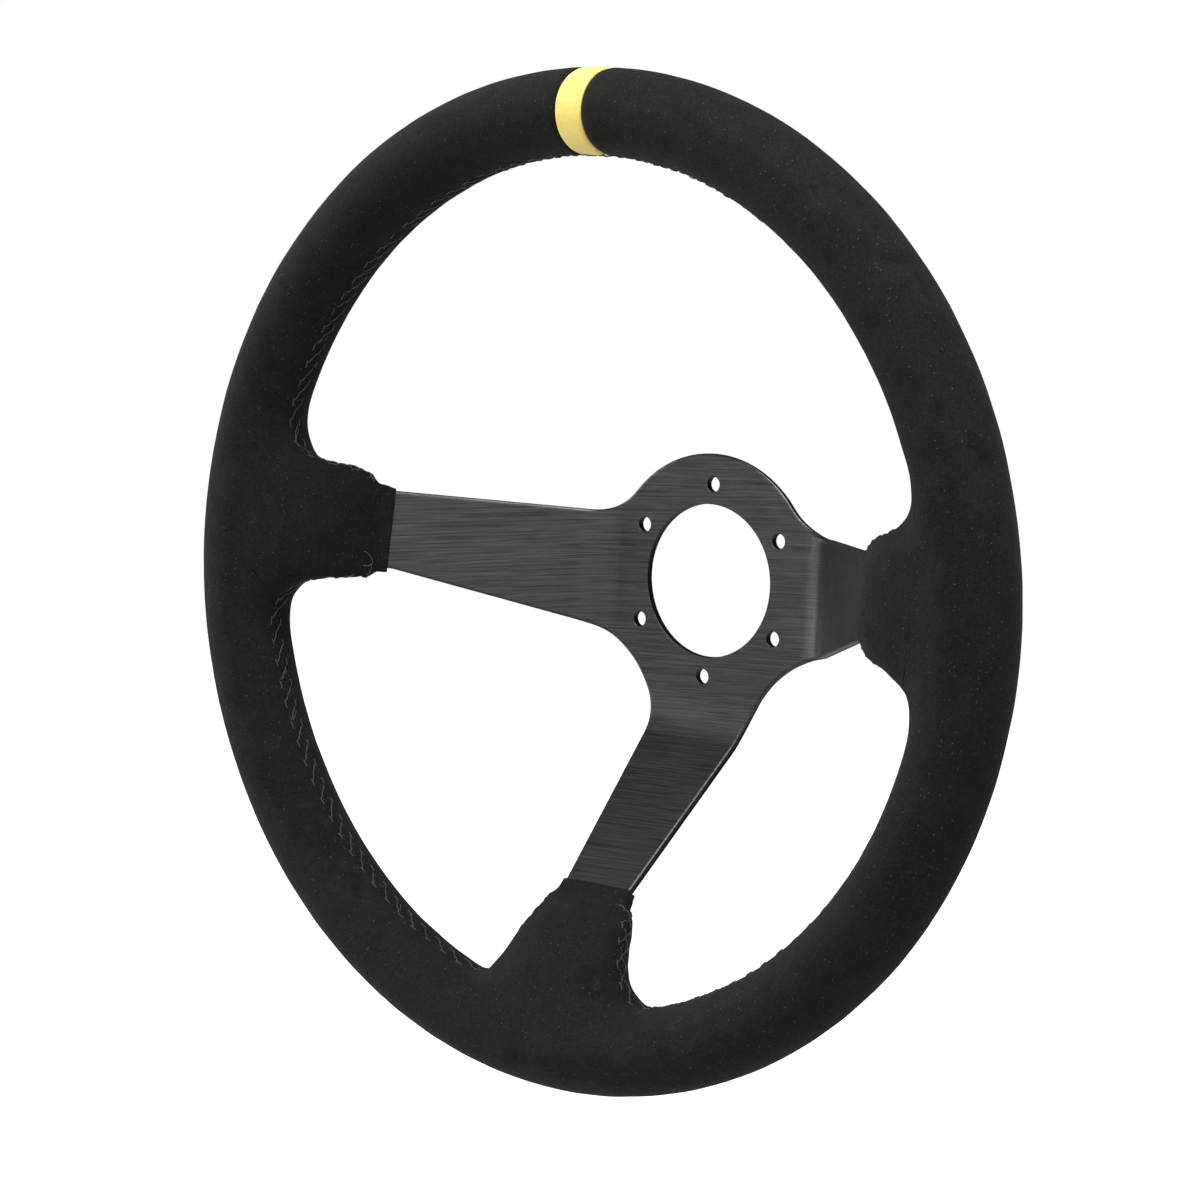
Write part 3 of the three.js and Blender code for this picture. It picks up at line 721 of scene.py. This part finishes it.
def cut_hems(bm):
    """Cuts the cover across each spoke where its hem lies, a little out of true as hand work is."""
    for spoke in SPOKES:
        shift, tilt = HEM_CUT[spoke.name]
        middle = spoke.point(spoke.hem + shift, spoke.centre(0.0), 0.0)
        tangent = unit(spoke.point(spoke.hem + 1, 0.0, 0.0) - spoke.point(spoke.hem, 0.0, 0.0))
        normal = unit(tangent + tilt * spoke.across)
        out, across = Vector(spoke.out), Vector(spoke.across)

        def close(place):
            return 60 * MM < out.dot(place) < 118 * MM and abs(across.dot(place)) < 45 * MM

        place, normal = Vector(middle * MM), Vector(normal)
        cut_faces(bm, [f for f in bm.faces if close(f.calc_center_median())], place, normal)
        gone = [v for v in bm.verts if close(v.co) and normal.dot(v.co - place) < -1e-6]
        bmesh.ops.delete(bm, geom=gone, context="VERTS")


def cut_marker_gap(bm):
    """Parts the cover at 12 o'clock, where the marker strip goes."""
    limit = (MARKER_HALF + MARKER_GAP) * MM
    for side in (-1, 1):
        near = [f for f in bm.faces if f.calc_center_median().z > 100 * MM]
        cut_faces(bm, near, Vector((side * limit, 0, 0)), (1, 0, 0))
    gone = [v for v in bm.verts if v.co.z > 100 * MM and abs(v.co.x) < limit - 1e-6]
    bmesh.ops.delete(bm, geom=gone, context="VERTS")


# ---- Seams ----
class Seam:
    """A laced seam from one hem to the next: places on the surface every half millimetre, with the
    direction along the seam, the surface's normal, and the direction across it towards the column."""

    def __init__(self, name, start, end):
        self.name = name
        points = resample(self.guess(start, end), 2.0, closed=False)
        for _ in range(12):
            points[1:-1] = (points[:-2] + 2 * points[1:-1] + points[2:]) / 4
            points = project(points, rounds=2)[0]
        lengths = np.concatenate([[0], np.cumsum(np.linalg.norm(np.diff(points, axis=0), axis=1))])
        self.length = lengths[-1]
        self.stitches = int(round(self.length / STITCH_PITCH))
        self.pitch = self.length / self.stitches
        self.step = 0.5
        self.at = np.arange(0, self.length, self.step)
        points = np.stack([np.interp(self.at, lengths, points[:, k]) for k in range(3)], 1)
        self.points, self.normal = project(points)
        self.along = unit(np.gradient(self.points, axis=0))
        across = unit(np.cross(self.along, self.normal))
        self.across = across * np.sign(across[:, 1:2])

    def guess(self, start, end):
        def edge(spoke, side):
            e = np.arange(0, 27.0, 1.5)
            width = spoke.boss_size(e)[0]
            return spoke.point(spoke.hem + e, spoke.centre(e) + side * width, np.zeros_like(e))

        first, last = edge(*start), edge(*end)[::-1]
        turn = [math.atan2(p[2] - RIM_Z, p[0]) for p in (first[-1], last[0])]
        sweep = (turn[1] - turn[0]) % (2 * math.pi)
        margin = 0.1
        t = turn[0] + margin + np.linspace(0, sweep - 2 * margin, 200)
        r = RIM_R - HALF_RADIAL
        rim = np.stack([r * np.cos(t), np.full(200, RIM_Y), RIM_Z + r * np.sin(t)], 1)
        return list(first) + list(rim) + list(last)

    def frame(self, length):
        i = np.clip(np.asarray(length) / self.step, 0, len(self.at) - 1.001)
        low = i.astype(int)
        t = (i - low)[..., None]
        rows = self.points, self.along, self.normal, self.across
        return [row[low] * (1 - t) + row[low + 1] * t for row in rows]


def seam_places(seams, points):
    """For points near a seam: which one, how far along it and how far to its column side."""
    samples = np.concatenate([s.points for s in seams])
    owner = np.concatenate([np.full(len(s.at), k) for k, s in enumerate(seams)])
    along = np.concatenate([s.at for s in seams])
    tangent = np.concatenate([s.along for s in seams])
    across = np.concatenate([s.across for s in seams])
    tree = KDTree(len(samples))
    for i, p in enumerate(samples):
        tree.insert(p, i)
    tree.balance()
    nearest = np.array([tree.find(p)[1] for p in points])
    gap = points - samples[nearest]
    length = along[nearest] + (gap * tangent[nearest]).sum(1)
    side = (gap * across[nearest]).sum(1)
    distance = np.linalg.norm(gap, axis=1)
    return owner[nearest], length, side, distance


def seam_relief(owner, length, side, distance, seams):
    """Height of the cover's surface near its seams: the gap, its puffed lips, the pull of the stitches."""
    lane = np.abs(side)
    near = smoothstep(14, 9, distance)
    pitch = np.array([s.pitch for s in seams])[owner]
    stitch = np.cos(2 * np.pi * (length / pitch - 0.25 * np.sign(side)))
    height = ridge(lane, GROOVE) + ridge(lane, LIP) + ridge(lane, PULL) * (0.5 + 0.5 * stitch) ** 4
    return near * (height + ridge(lane, PUCKER) * stitch)


def cover_relief(points, seams):
    """How far each point of the cover stands proud of the plain surface, in millimetres."""
    owner, length, side, distance = seam_places(seams, points)
    height = seam_relief(owner, length, side, distance, seams)
    height += uneven(points, SKIN_UNEVEN) + smoothstep(14, 2, distance) * uneven(points, SEAM_UNEVEN)
    for spoke in SPOKES:
        s, v, n = spoke.inverse(points)
        e = s - spoke.hem
        beside = np.abs(v - spoke.centre(e))
        on = (points @ spoke.out > BOSS_FROM) & (beside < NEAR_SPOKE)
        close = np.where(on, smoothstep(55, 20, e), 0)
        folds = FOLD_HEIGHT * np.sin(FOLD_TURN * (e + 1.5 * noise(points, 12, 13)))
        height += close * (uneven(points, BOSS_UNEVEN) + folds * smoothstep(30, 12, e))
        hem = np.where(on, bell(np.maximum(e, 0), 1.2), 0)
        corner = smoothstep(13, 15, beside) * bell(n, 1.6)
        height += hem * (0.05 + 0.09 * noise(points, 5, 14))
        height += hem * corner * (0.08 + 0.14 * noise(points, 9, 15))
    top = points[:, 2] > RIM_Z + 100
    gap = np.abs(points[:, 0]) - MARKER_HALF - MARKER_GAP
    height -= np.where(top, MARKER_DIP * bell(np.maximum(gap, 0), 0.8), 0)
    return height


def wall(points):
    """Thickness of the cover: thin where the bare collar hugs a spoke, full over the foam."""
    thickness = np.full(len(points), COVER_T)
    for spoke in SPOKES:
        s, v, _ = spoke.inverse(points)
        e = s - spoke.hem
        on = (points @ spoke.out > BOSS_FROM) & (np.abs(v - spoke.centre(e)) < NEAR_SPOKE) & (e < 12)
        thickness = np.where(on, COLLAR_T + (COVER_T - COLLAR_T) * smoothstep(6, 10, e), thickness)
    return thickness


def shell(outer, inner, faces, open_edges):
    """A closed shell from an outer skin, its inner copy and the open edges that join them."""
    count = len(outer)
    both = [list(f) for f in faces] + [[i + count for i in reversed(f)] for f in faces]
    both += [[b, a, a + count, b + count] for a, b in open_edges]
    return np.concatenate([outer, inner]), both


def open_edges_of(bm):
    """Open edges, each in the direction in which its one face runs."""
    return [(loop.vert.index, loop.link_loop_next.vert.index)
            for e in bm.edges if e.is_boundary for loop in e.link_loops]


def cover_base(voxel):
    """An even mesh on the cover's plain surface, cut open at the hems and the marker."""
    bm = remeshed(*joined([torus_mesh(240, 40)] + [boss_mesh(s) for s in SPOKES]), voxel)
    points = project(positions(bm))[0]
    move_to(bm, relax(points, edge_array(bm), 6, np.zeros(len(points), bool)))
    cut_hems(bm)
    cut_marker_gap(bm)
    return bm


def refine(bm, seams, reach):
    """Halves the mesh within reach of a seam."""
    bm.verts.index_update()
    distance = seam_places(seams, positions(bm))[3]
    close = [f for f in bm.faces if min(distance[v.index] for v in f.verts) < reach]
    edges = list({e for f in close for e in f.edges})
    bmesh.ops.subdivide_edges(bm, edges=edges, cuts=1, use_grid_fill=True)
    bmesh.ops.triangulate(bm, faces=[f for f in bm.faces if len(f.verts) > 4])


def build_cover(seams, voxel, material, edge_material):
    """The suede cover, and a search tree of its finished skin."""
    bm = cover_base(voxel)
    refine(bm, seams, 5.0)
    border = np.array([v.is_boundary for v in bm.verts])
    points, normals = project(relax(project(positions(bm))[0], edge_array(bm), 2, border))
    outer = points + normals * cover_relief(points, seams)[:, None]
    inner = project(points, level=-wall(points), rounds=4)[0]
    faces = [[v.index for v in f.verts] for f in bm.faces]
    verts, all_faces = shell(outer, inner, faces, open_edges_of(bm))
    bm.free()
    tree = BVHTree.FromPolygons(outer.tolist(), faces)
    cut = range(2 * len(faces), len(all_faces))
    return new_object("cover", verts, all_faces, material, second=(edge_material, cut)), tree


# ---- Marker strip ----
def marker_shape(material):
    """The marker strip, slit and tucked in at the rim's inner side, and a search tree of its skin."""
    half = MARKER_HALF - 0.15
    columns, sides = 18, 160
    xx, tt = np.meshgrid(np.linspace(-half, half, columns),
                         np.linspace(0, 2 * np.pi, sides, endpoint=False), indexing="ij")
    r = RIM_R + HALF_RADIAL * np.cos(tt)
    z = RIM_Z + np.sqrt(r * r - xx * xx)
    points = np.stack([xx, RIM_Y + HALF_AXIAL * np.sin(tt), z], -1).reshape(-1, 3)
    points, normals = project(points)
    edge = half - np.abs(points[:, 0])
    lane = np.abs(points[:, 1] - RIM_Y)
    under = points[:, 2] < RIM_Z + RIM_R
    height = 0.10 - 0.50 * bell(edge, 0.7) + uneven(points, MARKER_UNEVEN)
    height += np.where(under, ridge(lane, MARKER_SLIT) + ridge(lane, MARKER_LIP), 0)
    outer = points + normals * height[:, None]
    inner = project(points, level=-COVER_T, rounds=4)[0]
    index, faces = ring_faces(columns, sides)
    faces = faces[:, ::-1]
    ahead = np.roll(index, -1, 1)
    rims = [*zip(ahead[0], index[0]), *zip(index[-1], ahead[-1])]
    verts, all_faces = shell(outer, inner, faces.tolist(), rims)
    tree = BVHTree.FromPolygons(outer.tolist(), faces.tolist())
    return new_object("marker_strip", verts, all_faces, material), tree


# ---- Thread ----
def tube(points, radius, sides=8):
    """A closed round tube along points, tapered a little at its ends."""
    points = np.asarray(points, float)
    tangent = unit(np.gradient(points, axis=0))
    side = unit(np.cross(tangent[0], [0.3, 0.2, 0.9]))
    t = np.linspace(0, 2 * np.pi, sides, endpoint=False)
    rings = []
    for i, (p, d) in enumerate(zip(points, tangent)):
        side = unit(side - d * np.dot(side, d))
        up = np.cross(d, side)
        size = radius * (0.7 if i in (0, len(points) - 1) else 1)
        rings.append(p + size * (np.cos(t)[:, None] * side + np.sin(t)[:, None] * up))
    index, faces = ring_faces(len(points), sides)
    faces = faces[:, [0, 3, 2, 1]].tolist() + [index[0].tolist(), index[-1].tolist()[::-1]]
    return np.concatenate(rings), faces


def on_surface(trees, points, normals, lift):
    """Points moved along their normals to a height above the finished skin, without any that miss it."""
    out = []
    for p, n, h in zip(points, normals, lift):
        best = None
        for tree in trees:
            hit, _, _, _ = tree.ray_cast(Vector(p + n * 5), Vector(-n), 10)
            if hit is not None and (best is None or np.dot(np.array(hit) - best, n) > 0):
                best = np.array(hit)
        if best is not None:
            out.append(best + n * h)
    return np.array(out)


def strand(seam, trees, start, end, bow, steps, lift, sink=0.5, radius=THREAD_R, sides=8):
    """One visible stretch of thread between two (length, side) places, its ends dipping into the skin."""
    t = np.linspace(0, 1, steps)
    length = start[0] + (end[0] - start[0]) * t
    side = start[1] + (end[1] - start[1]) * t + bow * np.sin(np.pi * t)
    point, _, normal, across = seam.frame(length)
    normal = unit(normal)
    point = point + side[:, None] * across
    height = np.minimum(lift, -sink + (lift + sink) * np.sin(np.pi * t) * 2.6)
    laid = on_surface(trees, point, normal, height)
    return tube(laid, radius, sides) if len(laid) > 2 else (np.zeros((0, 3)), [])


def fibres(seam, trees, rng):
    """Short worn fibres that stand along both lips of the seam."""
    parts = []
    for _ in range(int(seam.length * FIBRES_PER_MM)):
        length = rng.uniform(FIBRE_MARGIN, seam.length - FIBRE_MARGIN)
        turn = rng.uniform(0, 2 * math.pi)
        middle = np.array([length, rng.normal(0, 2.4)])
        run = rng.uniform(0.3, 0.9)
        step = run * np.array([math.cos(turn), math.sin(turn)])
        parts.append(strand(seam, trees, middle - step, middle + step, 0.3 * run, 4, 0.15,
                            sink=0.1, radius=FIBRE_R, sides=4))
    return parts


def lacing(seam, trees, rng):
    """Slanting lace strands across the seam, with the short base stitches that they hook under."""
    parts = []

    def lay(base, start, end, *shape, **thinner):
        """Lays a strand between two (length, side) places, their lengths counted from a base."""
        places = (base + start[0], start[1]), (base + end[0], end[1])
        parts.append(strand(seam, trees, *places, *shape, **thinner))

    pitch = seam.pitch
    for i in range(seam.stitches):
        base = (i + 0.5) * pitch
        wander = rng.normal(0, 0.45, 6)
        spread = SEAM_LIP + 0.15 * wander[4]
        reach = pitch * (0.86 + 0.05 * wander[5])
        edge = min(base, seam.length - base)
        if edge > 0.5 * reach + 0.6:
            lay(base, (wander[0] - 0.5 * reach, spread), (wander[1] + 0.5 * reach, -spread),
                0.35 * wander[2], 16, 0.24 - 0.3 * abs(wander[4]))
            if wander[3] > 0.1:
                lay(base + wander[3], (0.7 - 0.4 * reach, spread), (0.3 * reach, -0.6 * spread),
                    -0.4 * wander[2], 14, 0.16, radius=0.7 * THREAD_R)
        hook = base + 0.5 * pitch + 0.6 * wander[3]
        if HOOK_MARGIN < hook < seam.length - HOOK_MARGIN:
            lay(hook, (-1.6, -spread - 0.35), (1.6, -spread - 0.2), 0.3 * wander[0], 9, 0.25)
        hook = base - 0.5 * pitch + 0.6 * wander[1]
        if HOOK_MARGIN < hook < seam.length - HOOK_MARGIN:
            lay(hook, (-1.5, spread + 0.3), (1.5, spread + 0.35), 0.3 * wander[2], 9, 0.2)
        if CROSSED[0] < edge < CROSSED[1]:
            lay(base, (-0.45 * reach, 0.2 - spread), (0.45 * reach, spread - 0.2),
                -0.3 * wander[3], 16, 0.2 - 0.3 * abs(wander[5]))
    return parts


# A loose end of thread on the left boss: lengths from the hem and offsets across the spoke.
LOOSE_END = ((11.0, 2.0), (9.2, 1.2), (7.4, -1.2), (6.9, -2.6), (8.6, -3.7), (10.8, -3.3))


def loose_end(tree):
    """A stray bit of thread that lies curled on the front of the left boss."""
    corners = np.array(LOOSE_END)
    t = np.linspace(0, len(corners) - 1, 31)
    e, v = (np.interp(t, np.arange(len(corners)), corners[:, k]) for k in (0, 1))
    for _ in range(4):
        e[1:-1] = (e[:-2] + 2 * e[1:-1] + e[2:]) / 4
        v[1:-1] = (v[:-2] + 2 * v[1:-1] + v[2:]) / 4
    points, normals = project(LEFT.point(LEFT.hem + e, v, np.full(len(e), -3.5)))
    return tube(on_surface([tree], points, normals, np.full(len(e), 0.15)), 0.2)


# ---- Materials ----
class Nodes:
    """A node tree that is filled by adding nodes whose inputs are given by socket: a link or a value."""

    def __init__(self, owner):
        owner.use_nodes = True
        self.tree = owner.node_tree

    def add(self, kind, inputs=(), **settings):
        node = self.tree.nodes.new(kind)
        for key, value in settings.items():
            setattr(node, key, value)
        for socket, value in dict(inputs).items():
            self.feed(node.inputs[socket], value)
        return node

    def feed(self, socket, value):
        if isinstance(value, bpy.types.NodeSocket):
            self.tree.links.new(value, socket)
        else:
            socket.default_value = value

    def by_camera(self, seen, lighting):
        """One shader for what the camera sees directly, and another for all other rays."""
        direct = self.add("ShaderNodeLightPath").outputs["Is Camera Ray"]
        return self.add("ShaderNodeMixShader", {0: direct, 1: lighting, 2: seen}).outputs[0]


class Maker(Nodes):
    """Builds one material's node tree round a Principled shader."""

    def __init__(self, name, **fixed):
        self.material = bpy.data.materials.new(name)
        super().__init__(self.material)
        self.shader = self.tree.nodes["Principled BSDF"]
        for key, value in fixed.items():
            self.shader.inputs[key.replace("_", " ")].default_value = value

    def place(self):
        """Where a point lies on the object, in metres."""
        return self.add("ShaderNodeTexCoord").outputs["Object"]

    def flat(self, stretch):
        """Where a point lies on the flat pattern, in metres, stretched by a scale in x and y."""
        uv = self.add("ShaderNodeUVMap", uv_map="flat").outputs["UV"]
        turned = self.add("ShaderNodeMapping", {"Vector": uv, "Rotation": (0, 0, -BRUSH_TURN)})
        inputs = {"Vector": turned.outputs["Vector"], "Scale": (*stretch, 1)}
        return self.add("ShaderNodeMapping", inputs).outputs["Vector"]

    def noise(self, where, size, detail=2.0, roughness=0.5):
        """Noise from 0 to 1 whose bumps have a size in millimetres."""
        inputs = {"Vector": where, "Scale": 1 / (size * MM), "Detail": detail, "Roughness": roughness}
        return self.add("ShaderNodeTexNoise", inputs).outputs["Fac"]

    def cells(self, where, size):
        """Distance from the nearest of scattered points, in cell sizes, and each one's random colour."""
        node = self.add("ShaderNodeTexVoronoi", {"Vector": where, "Scale": 1 / (size * MM)})
        return node.outputs["Distance"], node.outputs["Color"]

    def math(self, operation, a, b=0.0):
        return self.add("ShaderNodeMath", {0: a, 1: b}, operation=operation).outputs[0]

    def total(self, *weighted):
        """The sum of signals, each times its weight."""
        out = 0.0
        for value, weight in weighted:
            out = self.math("ADD", self.math("MULTIPLY", value, weight), out)
        return out

    def range(self, value, low, high, start=0.0, end=1.0):
        inputs = {"Value": value, "From Min": low, "From Max": high, "To Min": start, "To Max": end}
        return self.add("ShaderNodeMapRange", inputs).outputs["Result"]

    def ramp(self, value, *stops):
        """Colours by value: each stop is a place from 0 to 1 and a colour."""
        node = self.add("ShaderNodeValToRGB", {"Fac": value})
        elements = node.color_ramp.elements
        while len(elements) < len(stops):
            elements.new(0.5)
        for element, (place, colour) in zip(elements, stops):
            element.position = place
            element.color = (*colour, 1)
        return node.outputs["Color"]

    def mix(self, factor, a, b):
        return self.add("ShaderNodeMix", {"Factor": factor, 6: a, 7: b}, data_type="RGBA").outputs[2]

    def bump(self, height, depth, **under):
        """Relief of a depth in millimetres, on top of another Normal if one is given."""
        inputs = {"Height": height, "Distance": depth * MM, "Strength": 1.0, **under}
        return self.add("ShaderNodeBump", inputs).outputs["Normal"]

    def done(self, **looks):
        for name, value in looks.items():
            self.feed(self.shader.inputs[name.replace("_", " ")], value)
        return self.material


def suede(name, dark, light, speck, sheen):
    """Napped suede: cloudy where the nap was brushed about, with a fine grain and stray pale fibres."""
    m = Maker(name, Sheen_Weight=sheen, Sheen_Roughness=0.45, Specular_IOR_Level=0.15)
    where = m.place()
    cloud = m.noise(where, 9, 3)
    patch = m.noise(where, 2.6, 2)
    grain = m.noise(where, 0.7, 3, 0.7)
    nap = m.noise(where, 0.38, 2, 0.7)
    blend = m.total((cloud, 0.15), (patch, 0.15), (grain, 0.3), (nap, 0.4))
    colour = m.ramp(blend, (0.4, dark), (0.6, light))
    distance, own = m.cells(where, 1.5)
    fibre = m.math("LESS_THAN", distance, 0.12)
    rare = m.math("GREATER_THAN", own, 0.62)
    share = m.math("MULTIPLY", fibre, m.math("MULTIPLY", rare, 0.6))
    colour = m.mix(share, colour, (*speck, 1))
    roughness = m.range(patch, 0.3, 0.7, 0.86, 0.98)
    normal = m.bump(patch, 0.22, Normal=m.bump(grain, 0.16))
    return m.done(Base_Color=colour, Roughness=roughness, Normal=normal)


BRUSH_TURN = math.radians(4.5)     # of the brushing from the flat pattern's x axis


def brushed_metal():
    """Dark anodised aluminium, brushed roughly along x, with darker dashes and finger haze."""
    m = Maker("brushed_anodised_aluminium", Metallic=1.0, Anisotropic=0.6,
              Anisotropic_Rotation=0.25 + BRUSH_TURN / (2 * math.pi))
    fine = m.noise(m.flat((0.012, 1)), 0.2, 2, 0.6)
    broad = m.noise(m.flat((0.012, 1)), 0.7, 2, 0.6)
    dash = m.noise(m.flat((0.025, 1)), 0.4, 1)
    dark = m.range(dash, 0.64, 0.74)
    haze = m.noise(m.flat((1, 1)), 22, 3)
    streak = m.total((fine, 0.55), (broad, 0.45))
    colour = m.ramp(streak, (0.36, (0.044, 0.042, 0.043)), (0.66, (0.134, 0.129, 0.131)))
    colour = m.mix(m.math("MULTIPLY", dark, 0.45), colour, (0.035, 0.034, 0.035, 1))
    streak_rough = m.range(streak, 0.3, 0.7, 0.34, 0.46)
    rough = m.total((streak_rough, 1), (m.range(haze, 0.3, 0.7, -0.04, 0.04), 1))
    normal = m.bump(m.total((fine, 0.5), (broad, 0.5), (dark, -0.4)), 0.035)
    tangent = m.add("ShaderNodeTangent", direction_type="UV_MAP", uv_map="flat").outputs["Tangent"]
    return m.done(Base_Color=colour, Roughness=rough, Normal=normal, Tangent=tangent)


def plain_metal(name, dark, light, roughness, grain):
    """Bare or plated steel, dull in patches and faintly scratched. With very dark colours it also gives the
    plate's cut walls their painted shade.
    """
    m = Maker(name, Metallic=1.0)
    where = m.place()
    patches = m.noise(where, 6, 4)
    fine = m.noise(where, grain, 3, 0.6)
    colour = m.ramp(m.total((patches, 0.6), (fine, 0.4)), (0.3, dark), (0.7, light))
    rough = m.range(fine, 0.3, 0.7, roughness, roughness + 0.15)
    return m.done(Base_Color=colour, Roughness=rough, Normal=m.bump(fine, 0.03))


def foam():
    """Black moulded foam with open pores."""
    m = Maker("moulded_foam", Specular_IOR_Level=0.2)
    where = m.place()
    distance, own = m.cells(where, 1.1)
    pore = m.range(distance, 0.15, 0.5)
    cloud = m.noise(where, 12, 3)
    blend = m.total((pore, 0.7), (cloud, 0.3))
    colour = m.ramp(blend, (0.2, (0.008, 0.008, 0.009)), (0.9, (0.035, 0.035, 0.037)))
    return m.done(Base_Color=colour, Roughness=m.range(own, 0, 1, 0.8, 0.95), Normal=m.bump(pore, 0.3))


def waxed_thread():
    """Dark waxed thread with a soft shine."""
    m = Maker("waxed_thread", Specular_IOR_Level=0.6, Sheen_Weight=0.15)
    where = m.place()
    fibres = m.noise(where, 0.12, 3, 0.6)
    wear = m.noise(where, 4, 2)
    blend = m.total((fibres, 0.6), (wear, 0.4))
    colour = m.ramp(blend, (0.3, (0.018, 0.018, 0.019)), (0.75, (0.055, 0.055, 0.058)))
    rough = m.range(fibres, 0.3, 0.7, 0.3, 0.5)
    return m.done(Base_Color=colour, Roughness=rough, Normal=m.bump(fibres, 0.04))


PALE_FIBRE = (0.12, 0.12, 0.11)
black_suede = suede("black_suede", (0.0035, 0.0035, 0.0032), (0.0165, 0.0163, 0.0152), PALE_FIBRE, 0.035)
suede_edge = suede("suede_cut_edge", (0.012, 0.012, 0.011), (0.045, 0.045, 0.042), PALE_FIBRE, 0.03)
yellow_suede = suede("yellow_suede", (0.94, 0.68, 0.15), (1.0, 0.82, 0.25), (1.0, 0.92, 0.5), 0.35)
spoke_metal = brushed_metal()
# Cut walls of the bore, bolt holes, rivet holes and outline edge: rougher metal made near black, which is
# painted shade of these walls and not their own colour.
cut_edge = plain_metal("cut_edge", (0.012, 0.012, 0.012), (0.03, 0.029, 0.029), 0.45, 0.5)
thread = waxed_thread()

# ---- Pieces ----
verts, faces, uv, normals, walls = plate_mesh()
# The plate's cut walls take the near-black cut_edge metal, which is painted shade.
plate = new_object("brushed_spokes", verts, faces, spoke_metal, uv, normals, (cut_edge, walls))

seams = [Seam("top", (RIGHT, 1), (LEFT, 1)), Seam("lower_left", (LEFT, -1), (LOWER, -1)),
         Seam("lower_right", (LOWER, 1), (RIGHT, -1))]

voxel = 1.4      # size of the cover's first mesh
cover, cover_tree = build_cover(seams, voxel, black_suede, suede_edge)
marker, marker_tree = marker_shape(yellow_suede)

rng = np.random.default_rng(7)
trees = [cover_tree, marker_tree]
strands = {seam.name: lacing(seam, trees, rng) for seam in seams}
for seam in seams:
    strands[seam.name] += fibres(seam, trees, rng)
strands["lower_left"].append(loose_end(cover_tree))
laces = [new_object("thread_" + seam.name, *joined(strands[seam.name]), thread) for seam in seams]

for piece, node, slot in [
    (plate, "spoke_plate", "spoke_metal"),
    (cover, "suede_cover", "suede"),
    (marker, "centre_marker", "marker_suede"),
    *[(lace, "lacing_" + seam.name, "lacing_thread") for lace, seam in zip(laces, seams)],
]:
    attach(piece, "root")
    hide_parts(node)

ring_metal = plain_metal("tube_steel", (0.18, 0.18, 0.18), (0.34, 0.33, 0.32), 0.35, 1.5)
rivet_metal = plain_metal("plated_rivet", (0.5, 0.5, 0.5), (0.7, 0.7, 0.69), 0.25, 0.6)
kept = {"foam_grip": (foam(), "foam"), "rim_ring": (ring_metal, "ring_metal")}
for name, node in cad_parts.items():
    if name.startswith("rivet"):
        kept[name] = (rivet_metal, "rivet_metal")
for name, (material, slot) in kept.items():
    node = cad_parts[name]
    node.data.materials.clear()
    node.data.materials.append(material)

# ---- Floor, light and camera ----
WHITE = (1, 1, 1, 1)
FLOOR_DROP = 0.25      # of the floor below the wheel, which hangs on its hub bolts
FLOOR_HALF = 2.2


def stage_floor():
    """A pale floor that shows nearly white, and throws little light back up."""
    m = Maker("pale_floor", Roughness=0.9, Specular_IOR_Level=0.0)
    colour = m.ramp(m.noise(m.place(), 300, 2), (0.3, (0.56, 0.56, 0.56)), (0.7, (0.6, 0.6, 0.6)))
    material = m.done(Base_Color=colour)
    plain = m.shader.outputs[0]
    glow = m.add("ShaderNodeEmission", {"Color": WHITE, "Strength": 0.95})
    both = m.add("ShaderNodeAddShader", {0: plain, 1: glow.outputs[0]})
    m.feed(m.tree.nodes["Material Output"].inputs["Surface"], m.by_camera(both.outputs[0], plain))
    mesh = bpy.data.meshes.new("floor")
    z = cad_low[2] - FLOOR_DROP
    corners = [(a * FLOOR_HALF, b * FLOOR_HALF, z) for a, b in ((-1, -1), (1, -1), (1, 1), (-1, 1))]
    mesh.from_pydata(corners, [], [(0, 1, 2, 3)])
    mesh.materials.append(material)
    floor = bpy.data.objects.new("floor", mesh)
    bpy.context.scene.collection.objects.link(floor)


def studio_world():
    """Bright in front of the wheel and dim behind it; the camera sees plain white all round."""
    world = bpy.data.worlds.new("studio")
    bpy.context.scene.world = world
    m = Nodes(world)
    m.tree.nodes.clear()
    split = m.add("ShaderNodeSeparateXYZ", {0: m.add("ShaderNodeTexCoord").outputs["Generated"]})
    inputs = {"Value": split.outputs["Y"], "From Min": -0.7, "From Max": 0.15, "To Min": 1.05, "To Max": 0.12}
    strength = m.add("ShaderNodeMapRange", inputs, interpolation_type="SMOOTHSTEP").outputs["Result"]
    room = m.add("ShaderNodeBackground", {"Color": WHITE, "Strength": strength})
    seen = m.add("ShaderNodeBackground", {"Color": WHITE, "Strength": 1.0})
    m.add("ShaderNodeOutputWorld", {"Surface": m.by_camera(seen.outputs[0], room.outputs[0])})


def softbox(name, place, size, power, aim=(0, 0, 0)):
    light = bpy.data.lights.new(name, "AREA")
    light.shape = "RECTANGLE"
    light.size, light.size_y = size
    light.energy = power
    lamp = bpy.data.objects.new(name, light)
    lamp.location = place
    lamp.rotation_euler = (Vector(aim) - Vector(place)).to_track_quat("-Z", "Y").to_euler()
    bpy.context.scene.collection.objects.link(lamp)


def studio_camera():
    """Where the photo's camera stood, fitted to the wheel's outline and holes."""
    forward = Vector((-0.62538638, 0.77102086, -0.12007792))
    up = Vector((-0.11751254, 0.05906983, 0.99131305))
    right = forward.cross(up)
    camera = bpy.data.objects.new("camera", bpy.data.cameras.new("camera"))
    camera.data.sensor_width = 36
    camera.data.lens = 89.12
    place = Vector((0.642364, -0.855899, 0.119992))
    rows = [(right[k], up[k], -forward[k], place[k]) for k in range(3)]
    camera.matrix_world = Matrix(rows + [(0, 0, 0, 1)])
    bpy.context.scene.collection.objects.link(camera)
    bpy.context.scene.camera = camera


stage_floor()
studio_world()
softbox("left_softbox", (-1.45, -0.5, 0.0), (0.55, 1.2), 11)
softbox("top_softbox", (0.5, -0.35, 1.45), (0.9, 0.9), 26)
studio_camera()
bpy.context.scene.view_settings.view_transform = "Standard"
